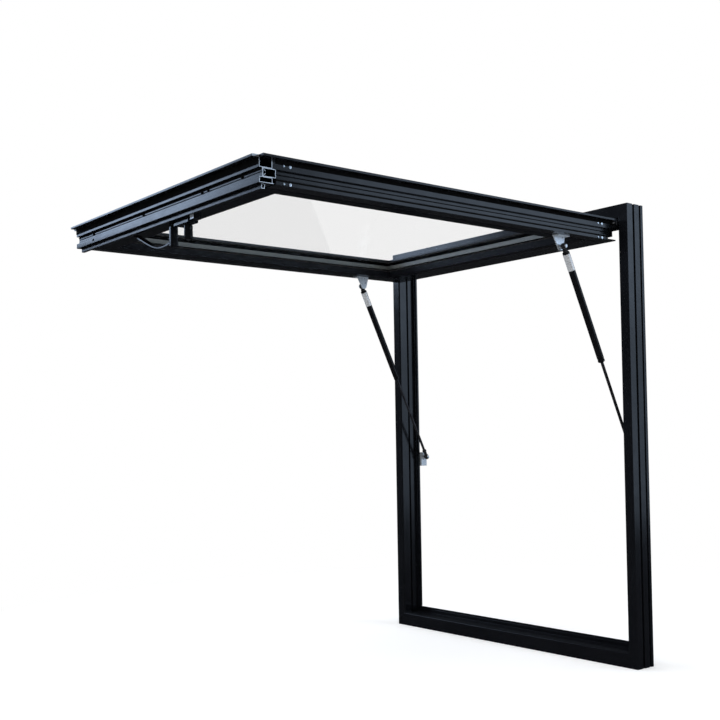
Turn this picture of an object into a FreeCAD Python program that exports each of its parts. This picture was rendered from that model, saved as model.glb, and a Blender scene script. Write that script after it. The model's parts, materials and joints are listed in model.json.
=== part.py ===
import FreeCAD, Part
import os
import re
import Sketcher

# Top hung awning window, millimetres.
# X runs along the width, Y towards the room, Z up. The origin is the middle of the sill's
# flat underside. The sash is open, square to the frame.

doc = FreeCAD.newDocument("AwningWindow")
sizes = doc.addObject("Spreadsheet::Sheet", "Sizes")

# Frame: widths are seen from outdoors, depths are measured from the outdoor face
FRAME_SIZES = [
    ("frame_width", 940),
    ("frame_height", 1200),
    ("frame_depth", 66),
    ("profile_wall", 2),
    ("jamb_face", 30),
    ("head_face", 37),
    ("sill_face", 40),
    ("jamb_stop", 38),
    ("head_stop", 47),
    ("sill_stop", 50),
    ("jamb_rear", 42),
    ("head_rear", 53),
    ("sill_rear", 56),
    ("stop_depth", 50),
    ("rear_depth", 60),
    ("front_chamfer", 3),
    ("groove_start", 23),
    ("groove_width", 4),
    ("groove_depth", 3),
    ("inner_groove", 2),
]

# Hook hinge along the head
HINGE_SIZES = [
    ("hinge_drop", 51),
    ("hinge_pin_radius", 3.5),
    ("hinge_gap", 0.5),
    ("hook_wall", 2.5),
    ("hook_opening", 160),
    ("hook_start", 23),
    ("hinge_arm", 3),
    ("hinge_arm_back", 0.5),
    ("hinge_foot", 24),
    ("hinge_end_gap", 2),
]

# Sash: levels are measured inwards from its outdoor face, widths from the edge of its flange
SASH_SIZES = [
    ("face_gap", 5),
    ("overlap", 10),
    ("side_gap", 6),
    ("flange", 5),
    ("break_step", 7),
    ("outer_width", 31),
    ("break_width", 32),
    ("sight_width", 84),
    ("bottom_sight", 98),
    ("outer_level", 24),
    ("break_level", 42),
    ("body_level", 54),
    ("leg_start", 26),
    ("leg_width", 8),
    ("leg_level", 64),
    ("leg_end_gap", 8),
    ("lip_level", 6),
    ("top_face_start", 9),
    ("top_outer_start", 17),
    ("top_break_start", 32),
    ("top_inner_start", 50),
    ("top_lip_start", 18),
    ("top_lip", 3),
    ("top_width", 80),
    ("top_sight", 104),
]

# Glazing
GLASS_SIZES = [
    ("glass_pane", 6),
    ("glass_space", 12),
    ("glass_edge", 4),
    ("gasket", 3),
    ("gasket_width", 6),
    ("spacer_width", 8),
]

# Gas struts and their brackets
STRUT_SIZES = [
    ("strut_inset", 60),
    ("strut_sash_back", 180),
    ("strut_sash_drop", 72),
    ("strut_frame_out", 80),
    ("strut_frame_drop", 661),
    ("tube_radius", 9),
    ("tube_wall", 1.5),
    ("tube_length", 306),
    ("gland", 12),
    ("rod_radius", 4),
    ("rod_seat", 20),
    ("neck_radius", 6),
    ("neck_length", 24),
    ("eye_radius", 8),
    ("eye_width", 12),
    ("stud_radius", 4),
    ("stud_gap", 0.05),
    ("open_gap", 0.5),
    ("plate_gap", 1),
    ("plate_wall", 3),
    ("gusset_front", 18),
    ("gusset_back", 27),
    ("gusset_round", 9),
    ("gusset_foot", 18),
    ("bracket_height", 44),
    ("bracket_below", 29),
    ("bracket_foot", 28),
]

# Handle and lock on the bottom rail
HANDLE_SIZES = [
    ("handle_x", 35),
    ("handle_in", 50),
    ("plate_ends", 17),
    ("handle_plate_width", 26),
    ("handle_plate_wall", 5),
    ("spindle_radius", 5),
    ("post_radius", 11),
    ("post_length", 50),
    ("grip_radius", 5),
    ("grip_straight", 90),
    ("grip_bow", 95),
    ("grip_rise", 36),
    ("barrel_x", 85),
    ("barrel_neck", 17),
    ("barrel_neck_radius", 5),
    ("barrel_radius", 8.5),
    ("barrel_length", 34),
]

DRIVING = FRAME_SIZES + HINGE_SIZES + SASH_SIZES + GLASS_SIZES + STRUT_SIZES + HANDLE_SIZES
for row, (alias, number) in enumerate(DRIVING, start=1):
    sizes.set(f"A{row}", alias)
    sizes.set(f"B{row}", str(number))
    sizes.setAlias(f"B{row}", alias)
doc.recompute()

ALIASES = "|".join(sorted((alias for alias, _ in DRIVING), key=len, reverse=True))

# Places that several pieces share, worked out from the driving sizes
HALF = "(frame_width / 2)"
FRONT_Y = "(-frame_depth / 2)"
HINGE_Z = "(frame_height - hinge_drop)"
FLANGE_FACE = "(face_gap + flange)"
TIP = "(frame_height - hinge_drop - sill_face + overlap)"
SASH_HALF = "(frame_width / 2 - jamb_face + overlap)"
BODY_START = "(overlap + side_gap)"
BREAK_START = "(overlap + side_gap + break_step)"
REBATE = "(overlap + side_gap + break_step + break_width)"
OUTER_END = "(overlap + side_gap + outer_width)"
GLASS_LEVEL = "(lip_level + gasket)"
INNER_PANE = "(lip_level + gasket + glass_pane + glass_space)"
BEAD_LEVEL = "(lip_level + 2 * gasket + 2 * glass_pane + glass_space)"
STRUT_X = "(frame_width / 2 - strut_inset)"
STRUT_RUN = "(strut_frame_out + strut_sash_back)"
STRUT_RISE = "(strut_frame_drop - hinge_drop - strut_sash_drop)"
STRUT_REACH = f"sqrt({STRUT_RUN}^2 + {STRUT_RISE}^2)"
STRUT_LEAN = f"atan({STRUT_RUN} / {STRUT_RISE})"


def bound(text):
    """The expression with each size name pointing at its cell."""
    return re.sub(rf"\b({ALIASES})\b", r"Sizes.\1", str(text))


def value(text):
    """The number that an expression gives now."""
    result = sizes.evalExpression(bound(text))
    return float(getattr(result, "Value", result))


def down(level):
    """Height above the hinge line of a level of the sash."""
    return f"({FLANGE_FACE} - ({level}))"


def place(item, x="0", y="0", z="0"):
    """Places a piece from the middle of the sill, with Y counted from the outdoor face."""
    item.setExpression("Placement.Base.x", bound(x))
    item.setExpression("Placement.Base.y", bound(f"{FRONT_Y} + {y}"))
    item.setExpression("Placement.Base.z", bound(z))


def shift(item, y, z):
    """Moves one piece of a boolean from its own origin."""
    item.setExpression("Placement.Base.y", bound(y))
    item.setExpression("Placement.Base.z", bound(z))


def sketch_on(body, role, name, offset="0"):
    """A sketch on one of the body's own origin planes, moved along its normal."""
    planes = {feature.Role: feature for feature in body.Origin.OriginFeatures}
    sketch = body.newObject("Sketcher::SketchObject", name)
    sketch.AttachmentSupport = [(planes[role], "")]
    sketch.MapMode = "FlatFace"
    sketch.setExpression("AttachmentOffset.Base.z", bound(offset))
    return sketch


def hold_point(sketch, geometry, vertex, across, up):
    """Holds a point of the sketch at two bound distances from its origin."""
    for kind, text in (("DistanceX", across), ("DistanceY", up)):
        held = sketch.addConstraint(
            Sketcher.Constraint(kind, -1, 1, geometry, vertex, value(text)))
        sketch.setExpression(f"Constraints[{held}]", bound(text))


def outline(sketch, points):
    """One closed loop of straight lines."""
    first = sketch.GeometryCount
    corners = [FreeCAD.Vector(value(across), value(up), 0) for across, up in points]
    count = len(corners)
    for number in range(count):
        sketch.addGeometry(Part.LineSegment(corners[number], corners[(number + 1) % count]), False)
    for number in range(count):
        following = first + (number + 1) % count
        sketch.addConstraint(Sketcher.Constraint("Coincident", first + number, 2, following, 1))
    for number, (across, up) in enumerate(points):
        hold_point(sketch, first + number, 1, across, up)


def circle(sketch, across, up, radius):
    number = sketch.GeometryCount
    centre = FreeCAD.Vector(value(across), value(up), 0)
    sketch.addGeometry(Part.Circle(centre, FreeCAD.Vector(0, 0, 1), value(radius)), False)
    hold_point(sketch, number, 3, across, up)
    held = sketch.addConstraint(Sketcher.Constraint("Radius", number, value(radius)))
    sketch.setExpression(f"Constraints[{held}]", bound(radius))


def new_body(label):
    body = doc.addObject("PartDesign::Body", label)
    body.Label = label
    return body


def pad(body, role, loops, length, name, offset="0", symmetric=False):
    """A pad of closed loops: the first is the outside, the rest are hollows."""
    sketch = sketch_on(body, role, f"{name}_section", offset)
    for loop in loops:
        outline(sketch, loop)
    run = body.newObject("PartDesign::Pad", f"{name}_run")
    run.Profile = sketch
    run.SideType = "Symmetric" if symmetric else "One side"
    run.setExpression("Length", bound(length))
    return run


def round_pad(body, role, across, up, radius, length, name, offset="0", symmetric=False):
    sketch = sketch_on(body, role, f"{name}_circle", offset)
    circle(sketch, across, up, radius)
    run = body.newObject("PartDesign::Pad", f"{name}_run")
    run.Profile = sketch
    run.SideType = "Symmetric" if symmetric else "One side"
    run.setExpression("Length", bound(length))
    return run


def cut(body, role, draw, name, length=None, offset="0", reverse=False):
    """A pocket right through, or of a stated length, that must remove material."""
    sketch = sketch_on(body, role, f"{name}_sketch", offset)
    draw(sketch)
    doc.recompute()
    before = body.Shape.Volume
    pocket = body.newObject("PartDesign::Pocket", name)
    pocket.Profile = sketch
    if length is None:
        pocket.SideType = "Symmetric"
        pocket.Type = "ThroughAll"
    else:
        pocket.setExpression("Length", bound(length))
        pocket.Reversed = reverse
    doc.recompute()
    if body.Shape.Volume >= before:
        raise RuntimeError(f"{name} cuts nothing")
    return pocket


def rectangle(left, right, low, high):
    return [(left, low), (right, low), (right, high), (left, high)]


# Frame


def frame_loops(face, stop, rear, point):
    """The shell of a frame bar and its three hollows, as depth and width."""
    wall = "profile_wall"
    groove_end = "(groove_start + groove_width)"
    shell = [("0", "0"), ("groove_start", "0"), ("groove_start", "groove_depth"),
             (groove_end, "groove_depth"), (groove_end, "0"),
             ("frame_depth", "0"), ("frame_depth", rear), ("rear_depth", rear),
             ("rear_depth", stop), ("stop_depth", stop), ("stop_depth", face),
             (groove_end, face), (groove_end, f"{face} - inner_groove"),
             ("groove_start", f"{face} - inner_groove"), ("groove_start", face),
             ("front_chamfer", face), ("0", f"{face} - front_chamfer")]
    front = [(wall, wall), (f"groove_start - {wall}", wall),
             (f"groove_start - {wall}", f"{face} - {wall}"),
             (f"front_chamfer + {wall}", f"{face} - {wall}"),
             (wall, f"{face} - front_chamfer - {wall}")]
    middle = rectangle("groove_start", groove_end, f"groove_depth + {wall}",
                       f"{face} - inner_groove - {wall}")
    back = [(f"{groove_end} + {wall}", wall), (f"frame_depth - {wall}", wall),
            (f"frame_depth - {wall}", f"{stop} - {wall}"),
            (f"stop_depth + {wall}", f"{stop} - {wall}"),
            (f"stop_depth + {wall}", f"{face} - {wall}"),
            (f"{groove_end} + {wall}", f"{face} - {wall}")]
    loops = (shell, front, middle, back)
    return [[point(depth, across) for depth, across in loop] for loop in loops]


def mitre(body, side, level, turn, face, upright):
    """Cuts one end of a frame bar along the line from the frame's outer corner."""
    edge = f"{side} * {HALF}"
    inner = f"{side} * ({HALF} - 2 * jamb_face)"
    far = f"{level} + {turn} * 2 * {face}"
    third = (inner, level) if upright else (edge, far)
    end = "right" if side > 0 else "left"
    height = "top" if turn < 0 else "bottom"
    cut(body, "XZ_Plane", lambda sketch: outline(sketch, [(edge, level), (inner, far), third]),
        f"{body.Label}_{end}_{height}_mitre")


def frame_crossbar(label, face, stop, rear, level, turn):
    body = new_body(label)
    loops = frame_loops(face, stop, rear,
                        lambda depth, width: (depth, f"{level} + {turn} * ({width})"))
    pad(body, "YZ_Plane", loops, "frame_width", label, symmetric=True)
    for side in (-1, 1):
        mitre(body, side, level, turn, face, upright=False)
    place(body)
    return body


def frame_jamb(label, side):
    body = new_body(label)
    loops = frame_loops("jamb_face", "jamb_stop", "jamb_rear",
                        lambda depth, width: (f"{side} * ({HALF} - ({width}))", depth))
    pad(body, "XY_Plane", loops, "frame_height", label)
    mitre(body, side, "0", 1, "sill_face", upright=True)
    mitre(body, side, "frame_height", -1, "head_face", upright=True)
    place(body)
    return body


# Hinge along the head


def head_hinge_rail():
    """A pin that hangs on an arm under the head, with a foot screwed to the head."""
    body = new_body("head_hinge_rail")
    length = "frame_width - 2 * (jamb_face + hinge_end_gap)"
    under_head = "hinge_drop - head_face"
    arm = rectangle("hinge_arm_back", "hinge_arm_back + hinge_arm", "0", under_head)
    foot = rectangle("hinge_arm_back", "hinge_arm_back + hinge_foot",
                     f"{under_head} - hinge_arm", under_head)
    pad(body, "YZ_Plane", [arm], length, "hinge_arm", symmetric=True)
    pad(body, "YZ_Plane", [foot], length, "hinge_foot", symmetric=True)
    round_pad(body, "YZ_Plane", "0", "0", "hinge_pin_radius", length, "hinge_pin",
              symmetric=True)
    place(body, z=HINGE_Z)
    return body


def sash_hinge_rail():
    """A hook that wraps the pin, with a plate to the top rail. Its gap lets the arm swing."""
    length = f"(2 * ({SASH_HALF} - {BODY_START}))"
    bore = "(hinge_pin_radius + hinge_gap)"
    outer = "(hinge_pin_radius + hinge_gap + hook_wall)"
    along_x = "rotation(vector(0; 1; 0); 90)"
    turned = f"rotation(vector(1; 0; 0); hook_start) * {along_x}"
    pieces = {}
    for name, radius, turn in (("hook_outside", outer, along_x), ("hook_bore", bore, along_x),
                               ("hook_mouth", f"{outer} + hook_wall", turned)):
        part = doc.addObject("Part::Cylinder", name)
        part.setExpression("Radius", bound(radius))
        part.setExpression("Height", bound(length))
        part.setExpression("Placement", bound(f"placement(vector(0; 0; 0); {turn})"))
        pieces[name] = part
    pieces["hook_mouth"].setExpression("Angle", bound("hook_opening"))
    plate = doc.addObject("Part::Box", "hook_plate")
    plate.setExpression("Length", bound(length))
    plate.setExpression("Width", bound(f"top_outer_start - {outer} + hook_wall / 2"))
    plate.setExpression("Height", bound("hook_wall"))
    shift(plate, "-top_outer_start", "-hook_wall / 2")
    foot = doc.addObject("Part::Box", "hook_foot")
    foot.setExpression("Length", bound(length))
    foot.setExpression("Width", bound("hook_wall"))
    foot.setExpression("Height", bound(f"outer_level - {FLANGE_FACE} + hook_wall / 2"))
    shift(foot, "-top_outer_start", down("outer_level"))
    void = doc.addObject("Part::MultiFuse", "hook_void")
    void.Shapes = [pieces["hook_bore"], pieces["hook_mouth"]]
    ring = doc.addObject("Part::Cut", "hook_ring")
    ring.Base = pieces["hook_outside"]
    ring.Tool = void
    rail = doc.addObject("Part::MultiFuse", "sash_hinge_rail")
    rail.Shapes = [ring, plate, foot]
    rail.Label = "sash_hinge_rail"
    place(rail, x=f"-{length} / 2", z=HINGE_Z)
    return rail


# Sash profiles


def sash_section(point, sight="sight_width", leg=False):
    """A sash bar's section: flange, three hollow chambers, glass lip and perhaps a leg."""
    wall = "profile_wall"
    leg_end = "(leg_start + leg_width)"
    foot = [(leg_end, "body_level"), (leg_end, "leg_level"),
            ("leg_start", "leg_level"), ("leg_start", "body_level")]
    shell = [("0", "0"), (sight, "0"), (sight, "lip_level"),
             (OUTER_END, "lip_level"), (OUTER_END, "outer_level"), (REBATE, "outer_level"),
             (REBATE, "break_level"), (OUTER_END, "break_level"), (OUTER_END, "body_level"),
             *(foot if leg else []), (BODY_START, "body_level"),
             (BODY_START, "break_level"), (BREAK_START, "break_level"),
             (BREAK_START, "outer_level"), (BODY_START, "outer_level"),
             (BODY_START, "flange"), ("0", "flange")]
    outer = rectangle(f"{BODY_START} + {wall}", f"{OUTER_END} - {wall}",
                      wall, f"outer_level - {wall}")
    middle = rectangle(f"{BREAK_START} + {wall}", f"{REBATE} - {wall}",
                       f"outer_level + {wall}", f"break_level - {wall}")
    inner = rectangle(f"{BODY_START} + {wall}", f"{OUTER_END} - {wall}",
                      f"break_level + {wall}", f"body_level - {wall}")
    loops = [shell, outer, middle, inner]
    if leg:
        loops.append(rectangle(f"leg_start + {wall}", f"{leg_end} - {wall}",
                               "body_level", f"leg_level - {wall}"))
    return [[point(width, level) for width, level in loop] for loop in loops]


def top_rail_loops():
    """The top rail's section, stepped on its hinge side, with a lip towards the head."""
    wall = "profile_wall"
    shell = [("top_face_start", "0"), ("top_sight", "0"), ("top_sight", "lip_level"),
             ("top_width", "lip_level"), ("top_width", "body_level"),
             ("top_lip_start", "body_level"), ("top_lip_start", "body_level - top_lip"),
             ("top_inner_start", "body_level - top_lip"), ("top_inner_start", "break_level"),
             ("top_break_start", "break_level"), ("top_break_start", "outer_level"),
             ("top_outer_start", "outer_level"), ("top_outer_start", "flange"),
             ("top_face_start", "flange")]
    outer = rectangle(f"top_outer_start + {wall}", f"top_width - {wall}",
                      wall, f"outer_level - {wall}")
    middle = rectangle(f"top_break_start + {wall}", f"top_width - {wall}",
                       f"outer_level + {wall}", f"break_level - {wall}")
    inner = rectangle(f"top_inner_start + {wall}", f"top_width - {wall}",
                      f"break_level + {wall}", f"body_level - {wall}")
    return [[(f"-({reach})", down(level)) for reach, level in loop]
            for loop in (shell, outer, middle, inner)]


def trim_lip(body, near, far, name):
    """Takes the glass lip off both ends of a rail, where the stiles' lips run through."""
    inner = f"({SASH_HALF} - sight_width)"
    outer = f"({SASH_HALF} - {BODY_START} + side_gap)"
    for side in (-1, 1):
        loop = rectangle(f"{side} * {inner}", f"{side} * {outer}", f"-({far})", f"-({near})")
        cut(body, "XY_Plane", lambda sketch: outline(sketch, loop), f"{name}_trim_{side + 1}")


def trim_leg(body):
    """Takes the leg off both ends of the bottom rail, so that it closes between the jambs."""
    outer = f"({SASH_HALF} - {BODY_START})"
    for side in (-1, 1):
        loop = rectangle(f"{side} * ({outer} - leg_end_gap)", f"{side} * {outer}",
                         f"-{TIP} + leg_start", f"-{TIP} + leg_start + leg_width")
        cut(body, "XY_Plane", lambda sketch: outline(sketch, loop), f"leg_trim_{side + 1}",
            length="leg_level - body_level", offset=down("body_level"))


def sash_rails():
    length = f"2 * ({SASH_HALF} - {BODY_START})"
    top = new_body("sash_top_rail")
    pad(top, "YZ_Plane", top_rail_loops(), length, "top_rail", symmetric=True)
    trim_lip(top, "top_width", "top_sight + side_gap", "top_rail")
    bottom = new_body("sash_bottom_rail")
    loops = sash_section(lambda width, level: (f"-{TIP} + ({width})", down(level)),
                         sight="bottom_sight", leg=True)
    pad(bottom, "YZ_Plane", loops, length, "bottom_rail", symmetric=True)
    trim_lip(bottom, f"{TIP} - bottom_sight - side_gap", f"{TIP} - {REBATE}", "bottom_rail")
    trim_leg(bottom)
    for body in (top, bottom):
        place(body, z=HINGE_Z)
    return top, bottom


def sash_stile(label, side):
    """A stile between the rails, whose flange runs on over the ends of both rails."""
    def point(width, level):
        return f"{side} * ({SASH_HALF} - ({width}))", down(level)
    body = new_body(label)
    pad(body, "XZ_Plane", sash_section(point), f"{TIP} - {REBATE} - top_width", label,
        offset="top_width")
    strip = [point(*corner) for corner in rectangle("0", BODY_START, "0", "flange")]
    pad(body, "XZ_Plane", [strip], f"{TIP} - {BODY_START} - top_face_start", f"{label}_flange",
        offset="top_face_start")
    place(body, z=HINGE_Z)
    return body


# Glazing


def glass_sheet(label, side_inset, top_inset, bottom_inset, level, thickness, ring=None):
    """A sheet between the sash bars, or a ring of it, at a level of the sash."""
    right = f"({SASH_HALF} - ({side_inset}))"
    near = f"({top_inset})"
    far = f"({TIP} - ({bottom_inset}))"
    body = new_body(label)
    loops = [rectangle(f"-{right}", right, f"-{far}", f"-{near}")]
    if ring:
        loops.append(rectangle(f"-{right} + {ring}", f"{right} - {ring}",
                               f"-{far} + {ring}", f"-{near} - {ring}"))
    pad(body, "XY_Plane", loops, thickness, label, offset=down(f"{level} + {thickness}"))
    place(body, z=HINGE_Z)
    return body


def glazing_bead(label, loop, length, role, offset="0", symmetric=False):
    body = new_body(label)
    pad(body, role, loop, length, label, offset=offset, symmetric=symmetric)
    place(body, z=HINGE_Z)
    return body


def bead_loops(start, end, point):
    wall = "profile_wall"
    outside = rectangle(start, end, BEAD_LEVEL, "body_level")
    inside = rectangle(f"{start} + {wall}", f"{end} - {wall}",
                       f"{BEAD_LEVEL} + {wall}", f"body_level - {wall}")
    return [[point(width, level) for width, level in loop] for loop in (outside, inside)]


def glazing():
    edges = (f"{REBATE} + glass_edge", "top_width + glass_edge", f"{REBATE} + glass_edge")
    seals = ("sight_width - gasket_width", "top_sight - gasket_width",
             "bottom_sight - gasket_width")
    pieces = [
        glass_sheet("glass_outer_pane", *edges, GLASS_LEVEL, "glass_pane"),
        glass_sheet("glass_spacer", *edges, f"{GLASS_LEVEL} + glass_pane", "glass_space",
                    ring="spacer_width"),
        glass_sheet("glass_inner_pane", *edges, INNER_PANE, "glass_pane"),
        glass_sheet("outer_glazing_gasket", *seals, "lip_level", "gasket",
                    ring="gasket_width"),
        glass_sheet("inner_glazing_gasket", *seals, f"{BEAD_LEVEL} - gasket", "gasket",
                    ring="gasket_width"),
    ]
    cross = f"2 * ({SASH_HALF} - sight_width)"
    pieces.append(glazing_bead(
        "top_glazing_bead",
        bead_loops("top_width", "top_sight", lambda w, n: (f"-({w})", down(n))),
        cross, "YZ_Plane", symmetric=True))
    pieces.append(glazing_bead(
        "bottom_glazing_bead",
        bead_loops(REBATE, "bottom_sight", lambda w, n: (f"-{TIP} + ({w})", down(n))),
        cross, "YZ_Plane", symmetric=True))
    for side, name in ((-1, "left_glazing_bead"), (1, "right_glazing_bead")):
        loops = bead_loops(REBATE, "sight_width",
                           lambda w, n: (f"{side} * ({SASH_HALF} - ({w}))", down(n)))
        pieces.append(glazing_bead(name, loops, f"{TIP} - {REBATE} - top_width",
                                   "XZ_Plane", offset="top_width"))
    return pieces


# Gas struts. Each piece is drawn round its sash pivot, with the strut hanging along minus Z


def lean(body, side):
    """Hangs a strut piece from the sash pivot and points it at the frame pivot."""
    body.setExpression("Placement", bound(
        f"placement(vector({side} * {STRUT_X}; {FRONT_Y} - strut_sash_back;"
        f" {HINGE_Z} - strut_sash_drop);"
        f" rotation(vector(1; 0; 0); {STRUT_LEAN}))"))


def strut_tube(label, side):
    body = new_body(label)
    run = "(tube_length - neck_length)"
    round_pad(body, "XY_Plane", "0", "0", "tube_radius", run, label, offset="-tube_length")
    cut(body, "XY_Plane",
        lambda sketch: circle(sketch, "0", "0", "tube_radius - tube_wall"), f"{label}_hollow",
        length=f"{run} - gland - tube_wall", offset="-neck_length - tube_wall")
    cut(body, "XY_Plane",
        lambda sketch: circle(sketch, "0", "0", "rod_radius + stud_gap"), f"{label}_bore",
        length="2 * gland", offset="-tube_length + gland")
    lean(body, side)
    return body


def strut_top_eye(label, side):
    body = new_body(label)
    round_pad(body, "XY_Plane", "0", "0", "neck_radius", "neck_length", label,
              offset="-neck_length")
    round_pad(body, "YZ_Plane", "0", "0", "eye_radius", "eye_width", f"{label}_eye",
              offset="-eye_width / 2")
    cut(body, "YZ_Plane", lambda sketch: circle(sketch, "0", "0", "stud_radius + stud_gap"),
        f"{label}_bore")
    lean(body, side)
    return body


def strut_rod(label, side):
    body = new_body(label)
    length = f"{STRUT_REACH} - tube_length + rod_seat - neck_length"
    round_pad(body, "XY_Plane", "0", "0", "rod_radius", length, label,
              offset=f"-{STRUT_REACH} + neck_length")
    lean(body, side)
    return body


def strut_rod_end(label, side):
    """The rod's eye with its own stud, whose end stops just clear of the jamb's bracket."""
    body = new_body(label)
    pivot = f"-{STRUT_REACH}"
    round_pad(body, "XY_Plane", "0", "0", "neck_radius", "neck_length", label, offset=pivot)
    round_pad(body, "YZ_Plane", "0", pivot, "eye_radius", "eye_width", f"{label}_eye",
              offset="-eye_width / 2")
    stud = "(tube_radius + plate_gap - open_gap)"
    start = "0" if side > 0 else f"-{stud}"
    round_pad(body, "YZ_Plane", "0", pivot, "stud_radius", stud, f"{label}_stud", offset=start)
    lean(body, side)
    return body


def sash_bracket(label, side):
    """A gusset on the stile's room face with the stud that the strut turns on."""
    body = new_body(label)
    inner = f"({STRUT_X} - tube_radius - plate_gap)"
    plate_start = f"{side} * {inner} - plate_wall * {1 if side > 0 else 0}"
    pivot_y = "-strut_sash_back"
    pivot_z = "-strut_sash_drop"
    room_face = down("body_level")
    gusset = [(f"{pivot_y} - gusset_back", room_face),
              (f"{pivot_y} - gusset_round", f"{pivot_z} - gusset_round / 2"),
              (f"{pivot_y} - gusset_round / 2", f"{pivot_z} - gusset_round"),
              (f"{pivot_y} + gusset_round / 2", f"{pivot_z} - gusset_round"),
              (f"{pivot_y} + gusset_round", f"{pivot_z} - gusset_round / 2"),
              (f"{pivot_y} + gusset_front", room_face)]
    pad(body, "YZ_Plane", [gusset], "plate_wall", label, offset=plate_start)
    foot_start = f"{side} * ({inner} - plate_wall) - {0 if side > 0 else 1} * gusset_foot"
    foot = rectangle(f"{pivot_y} - gusset_back", f"{pivot_y} + gusset_front",
                     f"{room_face} - plate_wall", room_face)
    pad(body, "YZ_Plane", [foot], "gusset_foot", f"{label}_foot", offset=foot_start)
    stud = "(tube_radius + plate_gap + eye_width / 2 + plate_wall)"
    stud_start = f"{side} * {inner} - {0 if side > 0 else 1} * {stud}"
    round_pad(body, "YZ_Plane", pivot_y, pivot_z, "stud_radius", stud, f"{label}_stud",
              offset=stud_start)
    place(body, z=HINGE_Z)
    return body


def frame_bracket(label, side):
    """An angle on the jamb's room face, with a tab beside the strut's lower end."""
    body = new_body(label)
    tab_outer = f"({STRUT_X} + tube_radius + plate_gap + plate_wall)"
    low = "frame_height - strut_frame_drop - bracket_below"
    tab = rectangle("frame_depth", "strut_frame_out + gusset_round",
                    low, f"{low} + bracket_height")
    tab_start = f"{side} * {tab_outer} - {1 if side > 0 else 0} * plate_wall"
    pad(body, "YZ_Plane", [tab], "plate_wall", label, offset=tab_start)
    foot = rectangle("frame_depth", "frame_depth + plate_wall", low, f"{low} + bracket_height")
    foot_start = f"{side} * ({tab_outer} - plate_wall) - {0 if side > 0 else 1} * bracket_foot"
    pad(body, "YZ_Plane", [foot], "bracket_foot", f"{label}_foot", offset=foot_start)
    place(body)
    return body


# Handle and lock


def handle_plate():
    body = new_body("handle_plate")
    row_y = f"-{TIP} + handle_in"
    outside = rectangle("handle_x - plate_ends", "barrel_x + plate_ends",
                        f"{row_y} - handle_plate_width / 2", f"{row_y} + handle_plate_width / 2")
    pad(body, "XY_Plane", [outside], "handle_plate_wall", "handle_plate",
        offset=down("body_level + handle_plate_wall"))
    cut(body, "XY_Plane",
        lambda sketch: circle(sketch, "handle_x", row_y, "spindle_radius + stud_gap"),
        "spindle_hole")
    place(body, z=HINGE_Z)
    return body


def handle_lever():
    """A post on a spindle and a bowed grip that runs to the left, back towards the rail."""
    spindle_top = value(down("body_level + open_gap"))
    plate_under = value(down("body_level + handle_plate_wall"))
    post_top = plate_under - value("open_gap")
    post_end = post_top - value("post_length")
    grip = value("grip_radius")
    upward = FreeCAD.Vector(0, 0, 1)
    spindle = Part.makeCylinder(value("spindle_radius"), spindle_top - post_top,
                                FreeCAD.Vector(0, 0, post_top), upward)
    post = Part.makeCylinder(value("post_radius"), post_top - post_end,
                             FreeCAD.Vector(0, 0, post_end), upward)
    grip_z = post_end + grip
    bend = FreeCAD.Vector(-value("grip_straight"), 0, grip_z)
    bow = value("grip_bow")
    rise = value("grip_rise")
    radius = (bow ** 2 + rise ** 2) / (2 * rise)
    end = FreeCAD.Vector(bend.x - bow, 0, grip_z + rise)
    middle_x = bow / 2
    middle = FreeCAD.Vector(bend.x - middle_x, 0,
                            grip_z + radius - (radius ** 2 - middle_x ** 2) ** 0.5)
    path = Part.Wire([
        Part.LineSegment(FreeCAD.Vector(0, 0, grip_z), bend).toShape(),
        Part.Arc(bend, middle, end).toShape(),
    ])
    ring = Part.Wire(Part.makeCircle(grip, FreeCAD.Vector(0, 0, grip_z), FreeCAD.Vector(-1, 0, 0)))
    bar = path.makePipeShell([ring], True, False)
    lever = doc.addObject("Part::Feature", "handle_lever")
    lever.Label = "handle_lever"
    lever.Shape = post.fuse([spindle, bar, Part.makeSphere(grip, end)]).removeSplitter()
    place(lever, x="handle_x", y=f"-{TIP} + handle_in", z=HINGE_Z)
    return lever


def lock_barrel():
    body = new_body("lock_barrel")
    row_y = f"-{TIP} + handle_in"
    neck_end = "body_level + handle_plate_wall + barrel_neck"
    round_pad(body, "XY_Plane", "barrel_x", row_y, "barrel_neck_radius", "barrel_neck",
              "lock_neck", offset=down(neck_end))
    round_pad(body, "XY_Plane", "barrel_x", row_y, "barrel_radius", "barrel_length",
              "lock_barrel", offset=down(f"{neck_end} + barrel_length"))
    place(body, z=HINGE_Z)
    return body


def build():
    parts = [
        frame_crossbar("frame_sill", "sill_face", "sill_stop", "sill_rear", "0", 1),
        frame_crossbar("frame_head", "head_face", "head_stop", "head_rear", "frame_height", -1),
        frame_jamb("left_jamb", -1),
        frame_jamb("right_jamb", 1),
        head_hinge_rail(),
        sash_hinge_rail(),
        *sash_rails(),
        sash_stile("sash_left_stile", -1),
        sash_stile("sash_right_stile", 1),
        *glazing(),
        handle_plate(),
        handle_lever(),
        lock_barrel(),
    ]
    for side, name in ((-1, "left"), (1, "right")):
        parts += [
            sash_bracket(f"{name}_sash_bracket", side),
            frame_bracket(f"{name}_frame_bracket", side),
            strut_tube(f"{name}_strut_tube", side),
            strut_top_eye(f"{name}_strut_top_eye", side),
            strut_rod(f"{name}_strut_rod", side),
            strut_rod_end(f"{name}_strut_rod_end", side),
        ]
    return parts


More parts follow.
